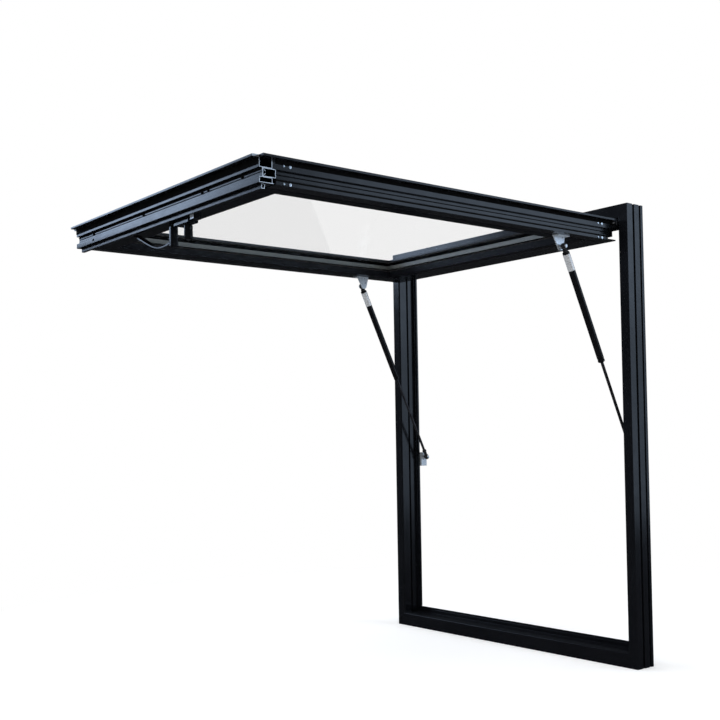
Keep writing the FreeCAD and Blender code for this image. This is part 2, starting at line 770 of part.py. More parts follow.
def write(parts):
    for item in doc.Objects:
        if "Invalid" in item.State or "Error" in item.State:
            raise RuntimeError(f"{item.Label} did not build: {item.State}")
    for item in parts:
        shape = item.Shape
        if shape.isNull() or not shape.isValid() or shape.Volume <= 0:
            raise RuntimeError(f"{item.Label} has no valid solid")
    os.makedirs("parts", exist_ok=True)
    for item in parts:
        item.Shape.exportStep(f"parts/{item.Label}.step")
        box = item.Shape.BoundBox
        print(f"{item.Label}: {len(item.Shape.Solids)} solid, {item.Shape.Volume / 1000:.1f} cm3, "
              f"x {box.XMin:.1f}..{box.XMax:.1f} y {box.YMin:.1f}..{box.YMax:.1f} "
              f"z {box.ZMin:.1f}..{box.ZMax:.1f}")


pieces = build()
doc.recompute()
write(pieces)
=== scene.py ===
"""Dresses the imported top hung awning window: profiles, glazing, hinge, gas struts and handle.

Metres throughout. X runs along the width, Y towards the room, Z up, and the middle of the
sill's underside is the origin. The sash stands open, square to the frame.
"""

import json
import math

import bmesh
import bpy
from bpy.props import FloatProperty, FloatVectorProperty, PointerProperty
from bpy.types import Operator, Panel, PropertyGroup
from mathutils import Matrix, Vector


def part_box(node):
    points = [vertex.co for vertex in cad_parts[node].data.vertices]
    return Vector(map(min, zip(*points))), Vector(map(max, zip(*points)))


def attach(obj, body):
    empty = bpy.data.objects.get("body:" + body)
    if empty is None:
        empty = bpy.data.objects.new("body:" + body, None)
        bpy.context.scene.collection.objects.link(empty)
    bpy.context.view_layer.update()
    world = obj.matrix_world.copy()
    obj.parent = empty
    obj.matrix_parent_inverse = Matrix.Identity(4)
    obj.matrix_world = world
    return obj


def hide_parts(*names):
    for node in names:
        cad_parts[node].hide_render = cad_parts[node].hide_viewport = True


bl_info = {
    "name": "Awning window dressing",
    "version": (1, 0, 0),
    "blender": (4, 5, 0),
    "location": "3D View > Sidebar > Window",
    "description": "Dresses the packed awning window with detailed profiles and fittings",
    "category": "Object",
}

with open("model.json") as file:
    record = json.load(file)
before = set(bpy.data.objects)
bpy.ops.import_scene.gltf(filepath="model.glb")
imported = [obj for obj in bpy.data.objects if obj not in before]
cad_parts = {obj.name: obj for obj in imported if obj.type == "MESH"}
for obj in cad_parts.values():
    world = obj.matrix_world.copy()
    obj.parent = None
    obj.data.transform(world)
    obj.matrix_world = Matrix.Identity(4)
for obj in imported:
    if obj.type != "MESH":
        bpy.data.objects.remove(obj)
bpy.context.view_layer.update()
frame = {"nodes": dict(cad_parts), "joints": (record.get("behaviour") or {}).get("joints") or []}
JOINTS = {joint["name"]: joint for joint in frame["joints"]}

X = Vector((1, 0, 0))
Y = Vector((0, 1, 0))
Z = Vector((0, 0, 1))

# Places read from the frame
FRAME_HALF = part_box("frame_sill")[1].x
FRAME_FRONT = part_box("frame_sill")[0].y
FRAME_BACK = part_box("frame_sill")[1].y
FRAME_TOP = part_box("frame_head")[1].z
SASH_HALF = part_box("sash_right_stile")[1].x
SASH_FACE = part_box("sash_top_rail")[1].z
SASH_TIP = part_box("sash_bottom_rail")[0].y
HINGE = Vector(JOINTS["sash_hinge"]["pos_m"])
HANDLE = Vector(JOINTS["handle_turn"]["pos_m"])
SIDES = (("left", -1), ("right", 1))

# Painted reflection on the outer pane: the glass is dimmed a little past a slanting line through this
# place, standing in for the edge of a reflection
REFLECTION_EDGE_START = (0.192, -0.835, 1.147)
REFLECTION_EDGE_ACROSS = (-0.6506, -0.7594, 0.0)


class FrameSizes(PropertyGroup):
    """Section of the outer frame, measured from its outdoor face and its outer side."""

    jamb_face: FloatProperty(name="Jamb face", description="Front width of a jamb",
                             default=0.030, unit="LENGTH")
    head_face: FloatProperty(name="Head face", description="Front width of the head",
                             default=0.037, unit="LENGTH")
    sill_face: FloatProperty(name="Sill face", description="Front width of the sill",
                             default=0.040, unit="LENGTH")
    jamb_stop: FloatProperty(name="Jamb stop", description="Width of a jamb at its stop",
                             default=0.038, unit="LENGTH")
    head_stop: FloatProperty(name="Head stop", description="Width of the head at its stop",
                             default=0.047, unit="LENGTH")
    sill_stop: FloatProperty(name="Sill stop", description="Width of the sill at its stop",
                             default=0.050, unit="LENGTH")
    rear_lip: FloatProperty(name="Rear lip", description="Height of the lip behind the stop",
                            default=0.005, unit="LENGTH")
    stop_depth: FloatProperty(name="Stop depth", description="Depth at which the stop starts",
                              default=0.056, unit="LENGTH")
    rear_depth: FloatProperty(name="Rear depth", description="Depth at which the lip starts",
                              default=0.060, unit="LENGTH")
    front_chamfer: FloatProperty(name="Front chamfer", description="Bevel of the inner front edge",
                                 default=0.003, unit="LENGTH")
    groove_start: FloatProperty(name="Groove start", description="Depth at which the groove starts",
                                default=0.0225, unit="LENGTH")
    inner_start: FloatProperty(name="Inner groove start", description="The same on the inner side",
                               default=0.0295, unit="LENGTH")
    inner_width: FloatProperty(name="Inner groove width", description="Width of the inner groove",
                               default=0.0065, unit="LENGTH")
    groove_width: FloatProperty(name="Groove width", description="Width of the side grooves",
                                default=0.0075, unit="LENGTH")
    groove_depth: FloatProperty(name="Groove depth", description="Depth of the outer groove",
                                default=0.007, unit="LENGTH")
    recess_start: FloatProperty(name="Recess start", description="Depth of the outer rear recess",
                                default=0.0500, unit="LENGTH")
    recess_width: FloatProperty(name="Recess width", description="Width of the rear recess",
                                default=0.0065, unit="LENGTH")
    recess_depth: FloatProperty(name="Recess depth", description="Depth of the rear recess",
                                default=0.005, unit="LENGTH")
    wall: FloatProperty(name="Wall", description="Thickness of the aluminium walls",
                        default=0.0015, unit="LENGTH")
    mitre_gap: FloatProperty(name="Mitre gap", description="Half the open line at a mitre",
                             default=0.0003, unit="LENGTH")
    edge: FloatProperty(name="Edge radius", description="Rounding of the profile's long edges",
                        default=0.0005, unit="LENGTH")


class SashSizes(PropertyGroup):
    """Section of the sash, as widths from the flange's edge and levels from its outdoor face."""

    flange: FloatProperty(name="Flange", description="Thickness of the overlapping flange",
                          default=0.005, unit="LENGTH")
    body_start: FloatProperty(name="Body start", description="Width of the flange's overhang",
                              default=0.016, unit="LENGTH")
    break_start: FloatProperty(name="Break start", description="Width at the recessed middle strip",
                               default=0.023, unit="LENGTH")
    outer_end: FloatProperty(name="Outer end", description="Width at the inner side of the body",
                             default=0.047, unit="LENGTH")
    rebate: FloatProperty(name="Rebate", description="Width at which the glass rebate starts",
                          default=0.055, unit="LENGTH")
    sight: FloatProperty(name="Sight width", description="Width of a stile up to the clear glass",
                         default=0.084, unit="LENGTH")
    bottom_sight: FloatProperty(name="Bottom sight", description="Width of the bottom rail",
                                default=0.098, unit="LENGTH")
    lip_level: FloatProperty(name="Lip level", description="Thickness of the glass lip",
                             default=0.006, unit="LENGTH")
    outer_level: FloatProperty(name="Outer level", description="Level under the outer chamber",
                               default=0.024, unit="LENGTH")
    break_level: FloatProperty(name="Break level", description="Level over the inner chamber",
                               default=0.042, unit="LENGTH")
    body_level: FloatProperty(name="Body level", description="Level of the room side",
                              default=0.054, unit="LENGTH")
    leg_start: FloatProperty(name="Leg start", description="Width at the bottom rail's leg",
                             default=0.026, unit="LENGTH")
    leg_width: FloatProperty(name="Leg width", description="Width of the bottom rail's leg",
                             default=0.008, unit="LENGTH")
    leg_level: FloatProperty(name="Leg level", description="Level of the leg's end",
                             default=0.064, unit="LENGTH")
    leg_end_gap: FloatProperty(name="Leg end gap", description="Leg left off at each end",
                               default=0.008, unit="LENGTH")
    top_face: FloatProperty(name="Top face", description="Reach of the top rail's flange",
                            default=0.009, unit="LENGTH")
    top_outer: FloatProperty(name="Top outer", description="Reach of the top rail's outer chamber",
                             default=0.017, unit="LENGTH")
    top_break: FloatProperty(name="Top break", description="Reach of the top rail's middle",
                             default=0.007, unit="LENGTH")
    top_inner: FloatProperty(name="Top inner", description="Reach of the top rail's inner chamber",
                             default=0.034, unit="LENGTH")
    top_lip_start: FloatProperty(name="Top lip start", description="Reach of the room side lip",
                                 default=0.003, unit="LENGTH")
    top_lip: FloatProperty(name="Top lip", description="Thickness of the room side lip",
                           default=0.003, unit="LENGTH")
    top_width: FloatProperty(name="Top width", description="Reach at which the top rebate starts",
                             default=0.080, unit="LENGTH")
    top_sight: FloatProperty(name="Top sight", description="Reach at which clear glass starts",
                             default=0.104, unit="LENGTH")
    crimp_level: FloatProperty(name="Crimp level", description="Level of the fine crimped line",
                               default=0.0325, unit="LENGTH")
    crimp: FloatProperty(name="Crimp line", description="Width and depth of the crimped line",
                         default=0.0010, unit="LENGTH")
    # The seal under the flange is partly real; its reach down the wall to the seal levels paints the
    # shade under the flange
    seal: FloatProperty(name="Seal", description="Thickness of the seal under the flange",
                        default=0.0012, unit="LENGTH")
    seal_shade_level: FloatProperty(name="Seal level", description="Level of the seal's lower edge",
                              default=0.0125, unit="LENGTH")
    front_seal_shade_level: FloatProperty(name="Front seal level", description="The same at the front",
                                    default=0.0180, unit="LENGTH")
    # The stile's dark line is painted shade just below the step onto the inner chamber
    shade_line_level: FloatProperty(name="Line level", description="Upper edge of the stile's dark line",
                              default=0.0432, unit="LENGTH")
    line_width: FloatProperty(name="Line width", description="Width of the stile's dark line",
                              default=0.0036, unit="LENGTH")
    bead_hook: FloatProperty(name="Bead hook", description="Reach of the hook that holds a bead",
                             default=0.003, unit="LENGTH")
    # The break strip is partly a real polyamide strip; its reach sets the painted shade in the bottom
    # rail's recess
    break_strip_shade_level: FloatProperty(name="Strip level", description="Lower edge of the matt break strip",
                               default=0.0282, unit="LENGTH")
    screw_radius: FloatProperty(name="Screw radius", description="Radius of the corner screws",
                                default=0.0038, unit="LENGTH")


class StrutSizes(PropertyGroup):
    """One gas strut, measured along it from the sash pivot."""

    tube_radius: FloatProperty(name="Tube radius", description="Outer radius of the tube",
                               default=0.009, unit="LENGTH")
    tube_end: FloatProperty(name="Tube end", description="Distance of the tube's lower end",
                            default=0.319, unit="LENGTH")
    rod_radius: FloatProperty(name="Rod radius", description="Radius of the rod",
                              default=0.004, unit="LENGTH")
    tube_start: FloatProperty(name="Tube start", description="Distance of the tube's upper end",
                              default=0.015, unit="LENGTH")
    neck: FloatProperty(name="Neck", description="Length of an end fitting",
                        default=0.024, unit="LENGTH")
    foot_inset: FloatProperty(name="Foot inset", description="From the foot's rear to its middle",
                              default=0.008, unit="LENGTH")
    eye_radius: FloatProperty(name="Socket radius", description="Radius of an end's socket",
                              default=0.0074, unit="LENGTH")
    neck_radius: FloatProperty(name="Neck radius", description="Radius of an end's neck",
                               default=0.005, unit="LENGTH")
    rivet_radius: FloatProperty(name="Rivet radius", description="Radius of the bracket screws",
                                default=0.003, unit="LENGTH")
    sleeve_start: FloatProperty(name="Sleeve start", description="Distance of the blank sleeve",
                                default=0.0215, unit="LENGTH")
    sleeve_end: FloatProperty(name="Sleeve end", description="Distance of the sleeve's lower end",
                              default=0.0655, unit="LENGTH")


class HandleSizes(PropertyGroup):
    """The bow handle and the lock on the bottom rail, from the handle's turning line."""

    plate: FloatProperty(name="Plate", description="Thickness of the base plate",
                         default=0.005, unit="LENGTH")
    plate_width: FloatProperty(name="Plate width", description="Width of the base plate and case",
                               default=0.026, unit="LENGTH")
    plate_end: FloatProperty(name="Plate end", description="Reach of the plate's rounded end",
                             default=0.017, unit="LENGTH")
    case_start: FloatProperty(name="Case start", description="Distance of the lock case",
                              default=0.013, unit="LENGTH")
    case_end: FloatProperty(name="Case end", description="Distance of the lock case's far end",
                            default=0.078, unit="LENGTH")
    case_depth: FloatProperty(name="Case depth", description="Depth of the lock case",
                              default=0.021, unit="LENGTH")
    boss_radius: FloatProperty(name="Boss radius", description="Radius of the turning boss",
                               default=0.011, unit="LENGTH")
    post_offset: FloatProperty(name="Post offset", description="Distance of the post from the boss",
                               default=0.0118, unit="LENGTH")
    post_width: FloatProperty(name="Post width", description="Width of the post",
                              default=0.0135, unit="LENGTH")
    post_depth: FloatProperty(name="Post depth", description="Depth of the post and of the bow",
                              default=0.0186, unit="LENGTH")
    post_length: FloatProperty(name="Post length", description="Length of the post",
                               default=0.058, unit="LENGTH")
    bow_thick: FloatProperty(name="Bow thickness", description="Thickness of the bow",
                             default=0.0042, unit="LENGTH")
    barrel: FloatProperty(name="Barrel", description="Distance of the lock barrel",
                          default=0.0565, unit="LENGTH")
    barrel_neck: FloatProperty(name="Barrel neck", description="Depth at which the barrel starts",
                               default=0.0225, unit="LENGTH")
    barrel_radius: FloatProperty(name="Barrel radius", description="Radius of the lock barrel",
                                 default=0.0098, unit="LENGTH")
    barrel_length: FloatProperty(name="Barrel length", description="Length of the lock barrel",
                                 default=0.034, unit="LENGTH")


class PaintColours(PropertyGroup):
    """Colours of the window's finishes."""

    powder: FloatVectorProperty(name="Powder coat", description="Satin black coat of the profiles",
                                default=(0.0045, 0.005, 0.0065), subtype="COLOR", min=0, max=1)
    raw: FloatVectorProperty(name="Cut aluminium", description="Bare metal at the sawn ends",
                             default=(0.95, 0.96, 0.97), subtype="COLOR", min=0, max=1)
    zinc: FloatVectorProperty(name="Zinc", description="Plated steel of the brackets",
                              default=(0.72, 0.77, 0.82), subtype="COLOR", min=0, max=1)
    glass: FloatVectorProperty(name="Glass", description="Tint of the clear glass",
                               default=(0.998, 0.998, 0.998), subtype="COLOR", min=0, max=1)
    floor: FloatVectorProperty(name="Floor", description="Pale studio floor",
                               default=(0.86, 0.86, 0.86), subtype="COLOR", min=0, max=1)


class StageSizes(PropertyGroup):
    """The camera, and the reach of the floor."""

    camera_place: FloatVectorProperty(name="Camera place", description="Where the camera stands",
                                      default=(2.15315, -2.25317, 0.59914), subtype="TRANSLATION")
    azimuth: FloatProperty(name="Azimuth", description="Turn of the view from straight in",
                           default=math.radians(51.191), subtype="ANGLE")
    elevation: FloatProperty(name="Elevation", description="Upward tilt of the view",
                             default=math.radians(1.919), subtype="ANGLE")
    roll: FloatProperty(name="Roll", description="Roll of the camera",
                        default=math.radians(-0.921), subtype="ANGLE")
    lens: FloatProperty(name="Lens", description="Focal length in millimetres",
                        default=52.64)
    shift_x: FloatProperty(name="Shift across", description="Sideways shift of the lens",
                           default=-0.01218)
    shift_y: FloatProperty(name="Shift up", description="Upward shift of the lens",
                           default=0.06103)
    floor_reach: FloatProperty(name="Floor reach", description="Half the floor's width",
                               default=9.0, unit="LENGTH")


# Materials


def noise(tree, source, scale, detail=2.0, roughness=0.5):
    node = tree.nodes.new("ShaderNodeTexNoise")
    node.inputs["Scale"].default_value = scale
    node.inputs["Detail"].default_value = detail
    node.inputs["Roughness"].default_value = roughness
    tree.links.new(source, node.inputs["Vector"])
    return node.outputs["Fac"]


def spread(tree, source, low, high, start=0.35, end=0.65):
    """Maps the middle of a pattern's range to a narrow range of values."""
    node = tree.nodes.new("ShaderNodeMapRange")
    node.inputs["From Min"].default_value = start
    node.inputs["From Max"].default_value = end
    node.inputs["To Min"].default_value = low
    node.inputs["To Max"].default_value = high
    tree.links.new(source, node.inputs["Value"])
    return node.outputs["Result"]


def blend_colours(tree, factor, first, second):
    node = tree.nodes.new("ShaderNodeMix")
    node.data_type = "RGBA"
    node.inputs["A"].default_value = (*first, 1)
    node.inputs["B"].default_value = (*second, 1)
    tree.links.new(factor, node.inputs["Factor"])
    return node.outputs["Result"]


def new_finish(name):
    """An empty Principled material and its Object coordinates."""
    finish = bpy.data.materials.new(name)
    finish.use_nodes = True
    tree = finish.node_tree
    shader = tree.nodes["Principled BSDF"]
    place = tree.nodes.new("ShaderNodeTexCoord").outputs["Object"]
    return finish, tree, shader, place


def relief(tree, shader, height, strength, distance):
    bump = tree.nodes.new("ShaderNodeBump")
    bump.inputs["Strength"].default_value = strength
    bump.inputs["Distance"].default_value = distance
    tree.links.new(height, bump.inputs["Height"])
    tree.links.new(bump.outputs["Normal"], shader.inputs["Normal"])


def scaled(colour, factor):
    return tuple(min(1.0, channel * factor) for channel in colour)


def powder_coat(name, colour, rough=0.22, gloss=0.5):
    """Satin coat with a fine orange peel and faint patches of handling marks."""
    finish, tree, shader, place = new_finish(name)
    patches = noise(tree, place, 9.0, detail=4.0)
    tint = blend_colours(tree, spread(tree, patches, 0.0, 1.0), colour, scaled(colour, 1.3))
    tree.links.new(tint, shader.inputs["Base Color"])
    streaks = noise(tree, place, 30.0, detail=3.0)
    tree.links.new(spread(tree, streaks, rough - 0.015, rough + 0.03), shader.inputs["Roughness"])
    shader.inputs["IOR"].default_value = 1.45
    shader.inputs["Specular IOR Level"].default_value = gloss
    relief(tree, shader, noise(tree, place, 900.0, detail=1.0), 0.05, 0.0004)
    return finish


def sawn_metal(name, colour):
    """Bare aluminium with the fine marks of a saw."""
    finish, tree, shader, place = new_finish(name)
    marks = tree.nodes.new("ShaderNodeTexWave")
    marks.inputs["Scale"].default_value = 260.0
    marks.inputs["Distortion"].default_value = 3.0
    tree.links.new(place, marks.inputs["Vector"])
    tint = blend_colours(tree, marks.outputs["Fac"], scaled(colour, 0.85), colour)
    tree.links.new(tint, shader.inputs["Base Color"])
    shader.inputs["Metallic"].default_value = 0.95
    shader.inputs["Roughness"].default_value = 0.3
    relief(tree, shader, marks.outputs["Fac"], 0.06, 0.0002)
    return finish


def zinc_plate(name, colour, metal=0.6):
    """Bright plating with soft cloudy spangles."""
    finish, tree, shader, place = new_finish(name)
    clouds = noise(tree, place, 120.0, detail=3.0)
    tint = blend_colours(tree, spread(tree, clouds, 0.0, 1.0), scaled(colour, 0.85), colour)
    tree.links.new(tint, shader.inputs["Base Color"])
    shader.inputs["Metallic"].default_value = metal
    tree.links.new(spread(tree, clouds, 0.26, 0.36), shader.inputs["Roughness"])
    relief(tree, shader, noise(tree, place, 600.0), 0.08, 0.0003)
    return finish


def polished_rod(name):
    """Dark nitrided rod with faint smudges left by the seal."""
    finish, tree, shader, place = new_finish(name)
    smudges = noise(tree, place, 60.0, detail=3.0)
    tint = blend_colours(tree, spread(tree, smudges, 0.0, 1.0),
                         (0.05, 0.05, 0.055), (0.09, 0.09, 0.10))
    tree.links.new(tint, shader.inputs["Base Color"])
    shader.inputs["Metallic"].default_value = 0.8
    tree.links.new(spread(tree, smudges, 0.16, 0.26), shader.inputs["Roughness"])
    return finish


def gloss_enamel(name):
    """Glossy black enamel of the strut's tube."""
    finish, tree, shader, place = new_finish(name)
    flecks = noise(tree, place, 40.0, detail=3.0)
    tint = blend_colours(tree, spread(tree, flecks, 0.0, 1.0),
                         (0.005, 0.005, 0.006), (0.008, 0.008, 0.010))
    tree.links.new(tint, shader.inputs["Base Color"])
    tree.links.new(spread(tree, flecks, 0.16, 0.24), shader.inputs["Roughness"])
    shader.inputs["Specular IOR Level"].default_value = 0.3
    return finish


def moulded_plastic(name, colour=(0.016, 0.016, 0.018)):
    """Dull black plastic with a fine moulded grain."""
    finish, tree, shader, place = new_finish(name)
    grain = noise(tree, place, 700.0, detail=2.0)
    tint = blend_colours(tree, spread(tree, grain, 0.0, 1.0), colour, scaled(colour, 1.6))
    tree.links.new(tint, shader.inputs["Base Color"])
    shader.inputs["Roughness"].default_value = 0.5
    relief(tree, shader, grain, 0.1, 0.0003)
    return finish


def seal_rubber(name, tone=1.0):
    """Matt black rubber with faint lengthwise drag marks."""
    finish, tree, shader, place = new_finish(name)
    marks = noise(tree, place, 180.0, detail=4.0)
    tint = blend_colours(tree, spread(tree, marks, 0.0, 1.0),
                         scaled((0.010, 0.010, 0.010), tone), scaled((0.022, 0.022, 0.023), tone))
    tree.links.new(tint, shader.inputs["Base Color"])
    shader.inputs["Roughness"].default_value = 0.85
    shader.inputs["Specular IOR Level"].default_value = 0.25 * tone
    relief(tree, shader, marks, 0.2, 0.0004)
    return finish


def clear_glass(name, colour, reflection_dimming=0.0, start=(0, 0, 0), across=(1, 0, 0)):
    """Clear float glass. Past a line through start, on the side that across points to, it is dimmed
    by the given share, a painted reflection edge.
    """
    finish, tree, shader, place = new_finish(name)
    dust = noise(tree, place, 3.0, detail=3.0)
    from_start = tree.nodes.new("ShaderNodeVectorMath")
    from_start.operation = "SUBTRACT"
    from_start.inputs[1].default_value = start
    tree.links.new(place, from_start.inputs[0])
    side = tree.nodes.new("ShaderNodeVectorMath")
    side.operation = "DOT_PRODUCT"
    side.inputs[1].default_value = across
    tree.links.new(from_start.outputs["Vector"], side.inputs[0])
    # Painted reflection: the side past the line is dimmed, as if a reflection ended there
    painted_reflection = spread(tree, side.outputs["Value"], 0.0, 1.0, -0.004, 0.004)
    clear = tree.nodes.new("ShaderNodeBsdfTransparent")
    tree.links.new(blend_colours(tree, painted_reflection, colour, scaled(colour, 1.0 - reflection_dimming)),
                   clear.inputs["Color"])
    tint = blend_colours(tree, spread(tree, dust, 0.0, 1.0), (0.9, 0.93, 0.93), (0.8, 0.84, 0.84))
    tree.links.new(tint, shader.inputs["Base Color"])
    shader.inputs["Metallic"].default_value = 1.0
    shader.inputs["Roughness"].default_value = 0.02
    mix = tree.nodes.new("ShaderNodeMixShader")
    mix.inputs["Fac"].default_value = 0.035
    tree.links.new(clear.outputs["BSDF"], mix.inputs[1])
    tree.links.new(shader.outputs["BSDF"], mix.inputs[2])
    tree.links.new(mix.outputs["Shader"], tree.nodes["Material Output"].inputs["Surface"])
    return finish


def satin_aluminium(name, colour, rough, metal):
    """Rolled aluminium with faint lengthwise lines."""
    finish, tree, shader, place = new_finish(name)
    lines = noise(tree, place, 220.0, detail=3.0)
    tint = blend_colours(tree, spread(tree, lines, 0.0, 1.0), scaled(colour, 0.88), colour)
    tree.links.new(tint, shader.inputs["Base Color"])
    shader.inputs["Metallic"].default_value = metal
    tree.links.new(spread(tree, lines, rough - 0.05, rough + 0.05), shader.inputs["Roughness"])
    return finish


FINISHES = {}


def make_finishes():
    colours = bpy.context.scene.awning_colours
    FINISHES.update({
        "powder": powder_coat("satin_powder_coat", tuple(colours.powder)),
        "hinge": powder_coat("hinge_powder_coat", scaled(tuple(colours.powder), 1.3), 0.30),
        "handle": powder_coat("handle_powder_coat", scaled(tuple(colours.powder), 0.9), 0.20),
        "raw": sawn_metal("sawn_aluminium", tuple(colours.raw)),
        "zinc": zinc_plate("zinc_plating", tuple(colours.zinc)),
        "screw": zinc_plate("screw_plating", scaled(tuple(colours.zinc), 1.25), 1.0),
        "rod": polished_rod("polished_rod"),
        "tube": gloss_enamel("tube_enamel"),
        "plastic": moulded_plastic("end_fitting_plastic"),
        "bead": powder_coat("bead_powder_coat", tuple(colours.powder), 0.30, 0.14),
        "frame": powder_coat("frame_powder_coat", tuple(colours.powder), 0.17),
        "rubber": seal_rubber("glazing_rubber"),
        # Matt black of the seals and the break strip, which also paint shade, of the stiles' painted
        # shade lines and of the small rail screws
        "seal": seal_rubber("matt_seal_and_painted_shade", 0.3),
        "glass": clear_glass("clear_glass", tuple(colours.glass)),
        # The outer pane's glass carries the painted reflection edge
        "painted_reflection": clear_glass("glass_with_painted_reflection", tuple(colours.glass), 0.036,
                              REFLECTION_EDGE_START, REFLECTION_EDGE_ACROSS),
        "spacer": satin_aluminium("spacer_aluminium", (0.30, 0.32, 0.31), 0.45, 0.2),
        "sleeve": satin_aluminium("blank_sleeve", (0.92, 0.93, 0.94), 0.3, 0.35),
    })


# Shapes


def finish_piece(name, bm, body, finishes, nodes=(), smooth=35.0):
    """Turns a bmesh into a piece that rides on a body, takes its finishes and replaces its nodes."""
    mesh = bpy.data.meshes.new(name)
    bm.to_mesh(mesh)
    bm.free()
    for finish in finishes:
        mesh.materials.append(FINISHES[finish])
    piece = bpy.data.objects.new(name, mesh)
    bpy.context.scene.collection.objects.link(piece)
    mesh.shade_smooth()
    mesh.set_sharp_from_angle(angle=math.radians(smooth))
    flats = piece.modifiers.new("flat_faces", "WEIGHTED_NORMAL")
    flats.weight = 100
    flats.keep_sharp = True
    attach(piece, body)
    if nodes:
        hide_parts(*nodes)
    return piece


def add_loop(bm, points):
    """One closed ring of edges through the points."""
    verts = [bm.verts.new(point) for point in points]
    return [bm.edges.new((verts[i], verts[(i + 1) % len(verts)])) for i in range(len(verts))]


def add_bar(bm, loops, along, start, end, edge=0.0, mitres=(None, None)):
    """A hollow bar: closed loops run along a direction between two planes and are capped.

    The loops are 3D points near the bar's start. A mitre is the plane's own normal.
    """
    rest = set(bm.faces)
    edges = [item for loop in loops for item in add_loop(bm, [Vector(p) for p in loop])]
    verts = {vert for item in edges for vert in item.verts}
    low, high = min(start, end), max(start, end)
    reach = high - low
    for vert in verts:
        vert.co += along * (low - reach * 0.5 - vert.co.dot(along))
    grown = bmesh.ops.extrude_edge_only(bm, edges=edges)["geom"]
    moved = [item for item in grown if isinstance(item, bmesh.types.BMVert)]
    bmesh.ops.translate(bm, verts=moved, vec=along * reach * 2.0)
    for place, normal, mitre in ((low, -along, mitres[0]), (high, along, mitres[1])):
        own = [face for face in bm.faces if face not in rest]
        geom = list({v for f in own for v in f.verts}) + list({e for f in own for e in f.edges}) + own
        point, direction = mitre or (along * place, normal)
        cut = bmesh.ops.bisect_plane(bm, geom=geom, plane_co=point, plane_no=direction,
                                     clear_outer=True)["geom_cut"]
        rim = [item for item in cut if isinstance(item, bmesh.types.BMEdge)]
        caps = bmesh.ops.triangle_fill(bm, use_beauty=True, edges=rim, normal=direction)["geom"]
        for face in caps:
            if isinstance(face, bmesh.types.BMFace):
                face.material_index = 1
    own = [face for face in bm.faces if face not in rest]
    bmesh.ops.recalc_face_normals(bm, faces=own)
    if edge:
        long_edges = {item for face in own for item in face.edges
                      if len(item.link_faces) == 2
                      and abs((item.verts[1].co - item.verts[0].co).normalized().dot(along)) > 0.999
                      and item.calc_face_angle(0) > 0.4}
        bmesh.ops.bevel(bm, geom=list(long_edges), offset=edge, offset_type="OFFSET",
                        segments=2, profile=0.5, affect="EDGES", clamp_overlap=True, material=-1)
    return own


def turned(bm, outline, origin, axis, steps=32):
    """A lathe shape: (distance along the axis, radius) points spun round it."""
    axis = axis.normalized()
    side = axis.orthogonal().normalized()
    verts = [bm.verts.new(origin + axis * along + side * radius) for along, radius in outline]
    edges = [bm.edges.new(pair) for pair in zip(verts, verts[1:])]
    spun = bmesh.ops.spin(bm, geom=verts + edges, cent=origin, axis=axis, angle=math.tau,
                          steps=steps, use_merge=True)
    bmesh.ops.remove_doubles(bm, verts=bm.verts, dist=1e-6)
    bmesh.ops.recalc_face_normals(bm, faces=bm.faces)
    return spun


def softened_copy(name, node, body, finish, width=0.0006, also=None):
    """A merged copy of a CAD node with small bevels, which replaces the node."""
    bm = bmesh.new()
    bm.from_mesh(frame["nodes"][node].data)
    bmesh.ops.remove_doubles(bm, verts=bm.verts, dist=1e-5)
    bmesh.ops.dissolve_limit(bm, angle_limit=math.radians(1), verts=bm.verts, edges=bm.edges)
    sharp = [item for item in bm.edges if len(item.link_faces) == 2
             and item.calc_face_angle(0) > math.radians(40)]
    bmesh.ops.bevel(bm, geom=sharp, offset=width, offset_type="OFFSET", segments=2,
                    profile=0.5, affect="EDGES", clamp_overlap=True, material=-1)
    if also:
        also(bm)
    return finish_piece(name, bm, body, [finish], [node])


def rectangle(left, right, low, high):
    return [(left, low), (right, low), (right, high), (left, high)]


# Frame


def frame_section(sizes, face, stop):
    """Closed outlines of a frame bar, as (depth, width) points: its shell, then its hollows."""
    groove, groove_end = sizes.groove_start, sizes.groove_start + sizes.groove_width
    inner, inner_end = sizes.inner_start, sizes.inner_start + sizes.inner_width
    depth = FRAME_BACK - FRAME_FRONT
    rear = stop + sizes.rear_lip
    wall = sizes.wall
    recess_end = sizes.recess_start + sizes.recess_width
    shell = [(0, 0), (groove, 0), (groove, sizes.groove_depth), (groove_end, sizes.groove_depth),
             (groove_end, 0), (sizes.recess_start, 0), (sizes.recess_start, sizes.recess_depth),
             (recess_end, sizes.recess_depth), (recess_end, 0),
             (depth, 0), (depth, rear), (sizes.rear_depth, rear),
             (sizes.rear_depth, stop), (sizes.stop_depth, stop), (sizes.stop_depth, face),
             (inner_end, face), (inner_end, face - sizes.groove_depth),
            (inner, face - sizes.groove_depth), (inner, face),
             (sizes.front_chamfer, face), (0, face - sizes.front_chamfer)]
    front = rectangle(wall, groove - wall, wall, face - sizes.front_chamfer - wall)
    back = rectangle(inner_end + wall, depth - wall, sizes.recess_depth + wall, face - wall)
    return [shell, front, back]


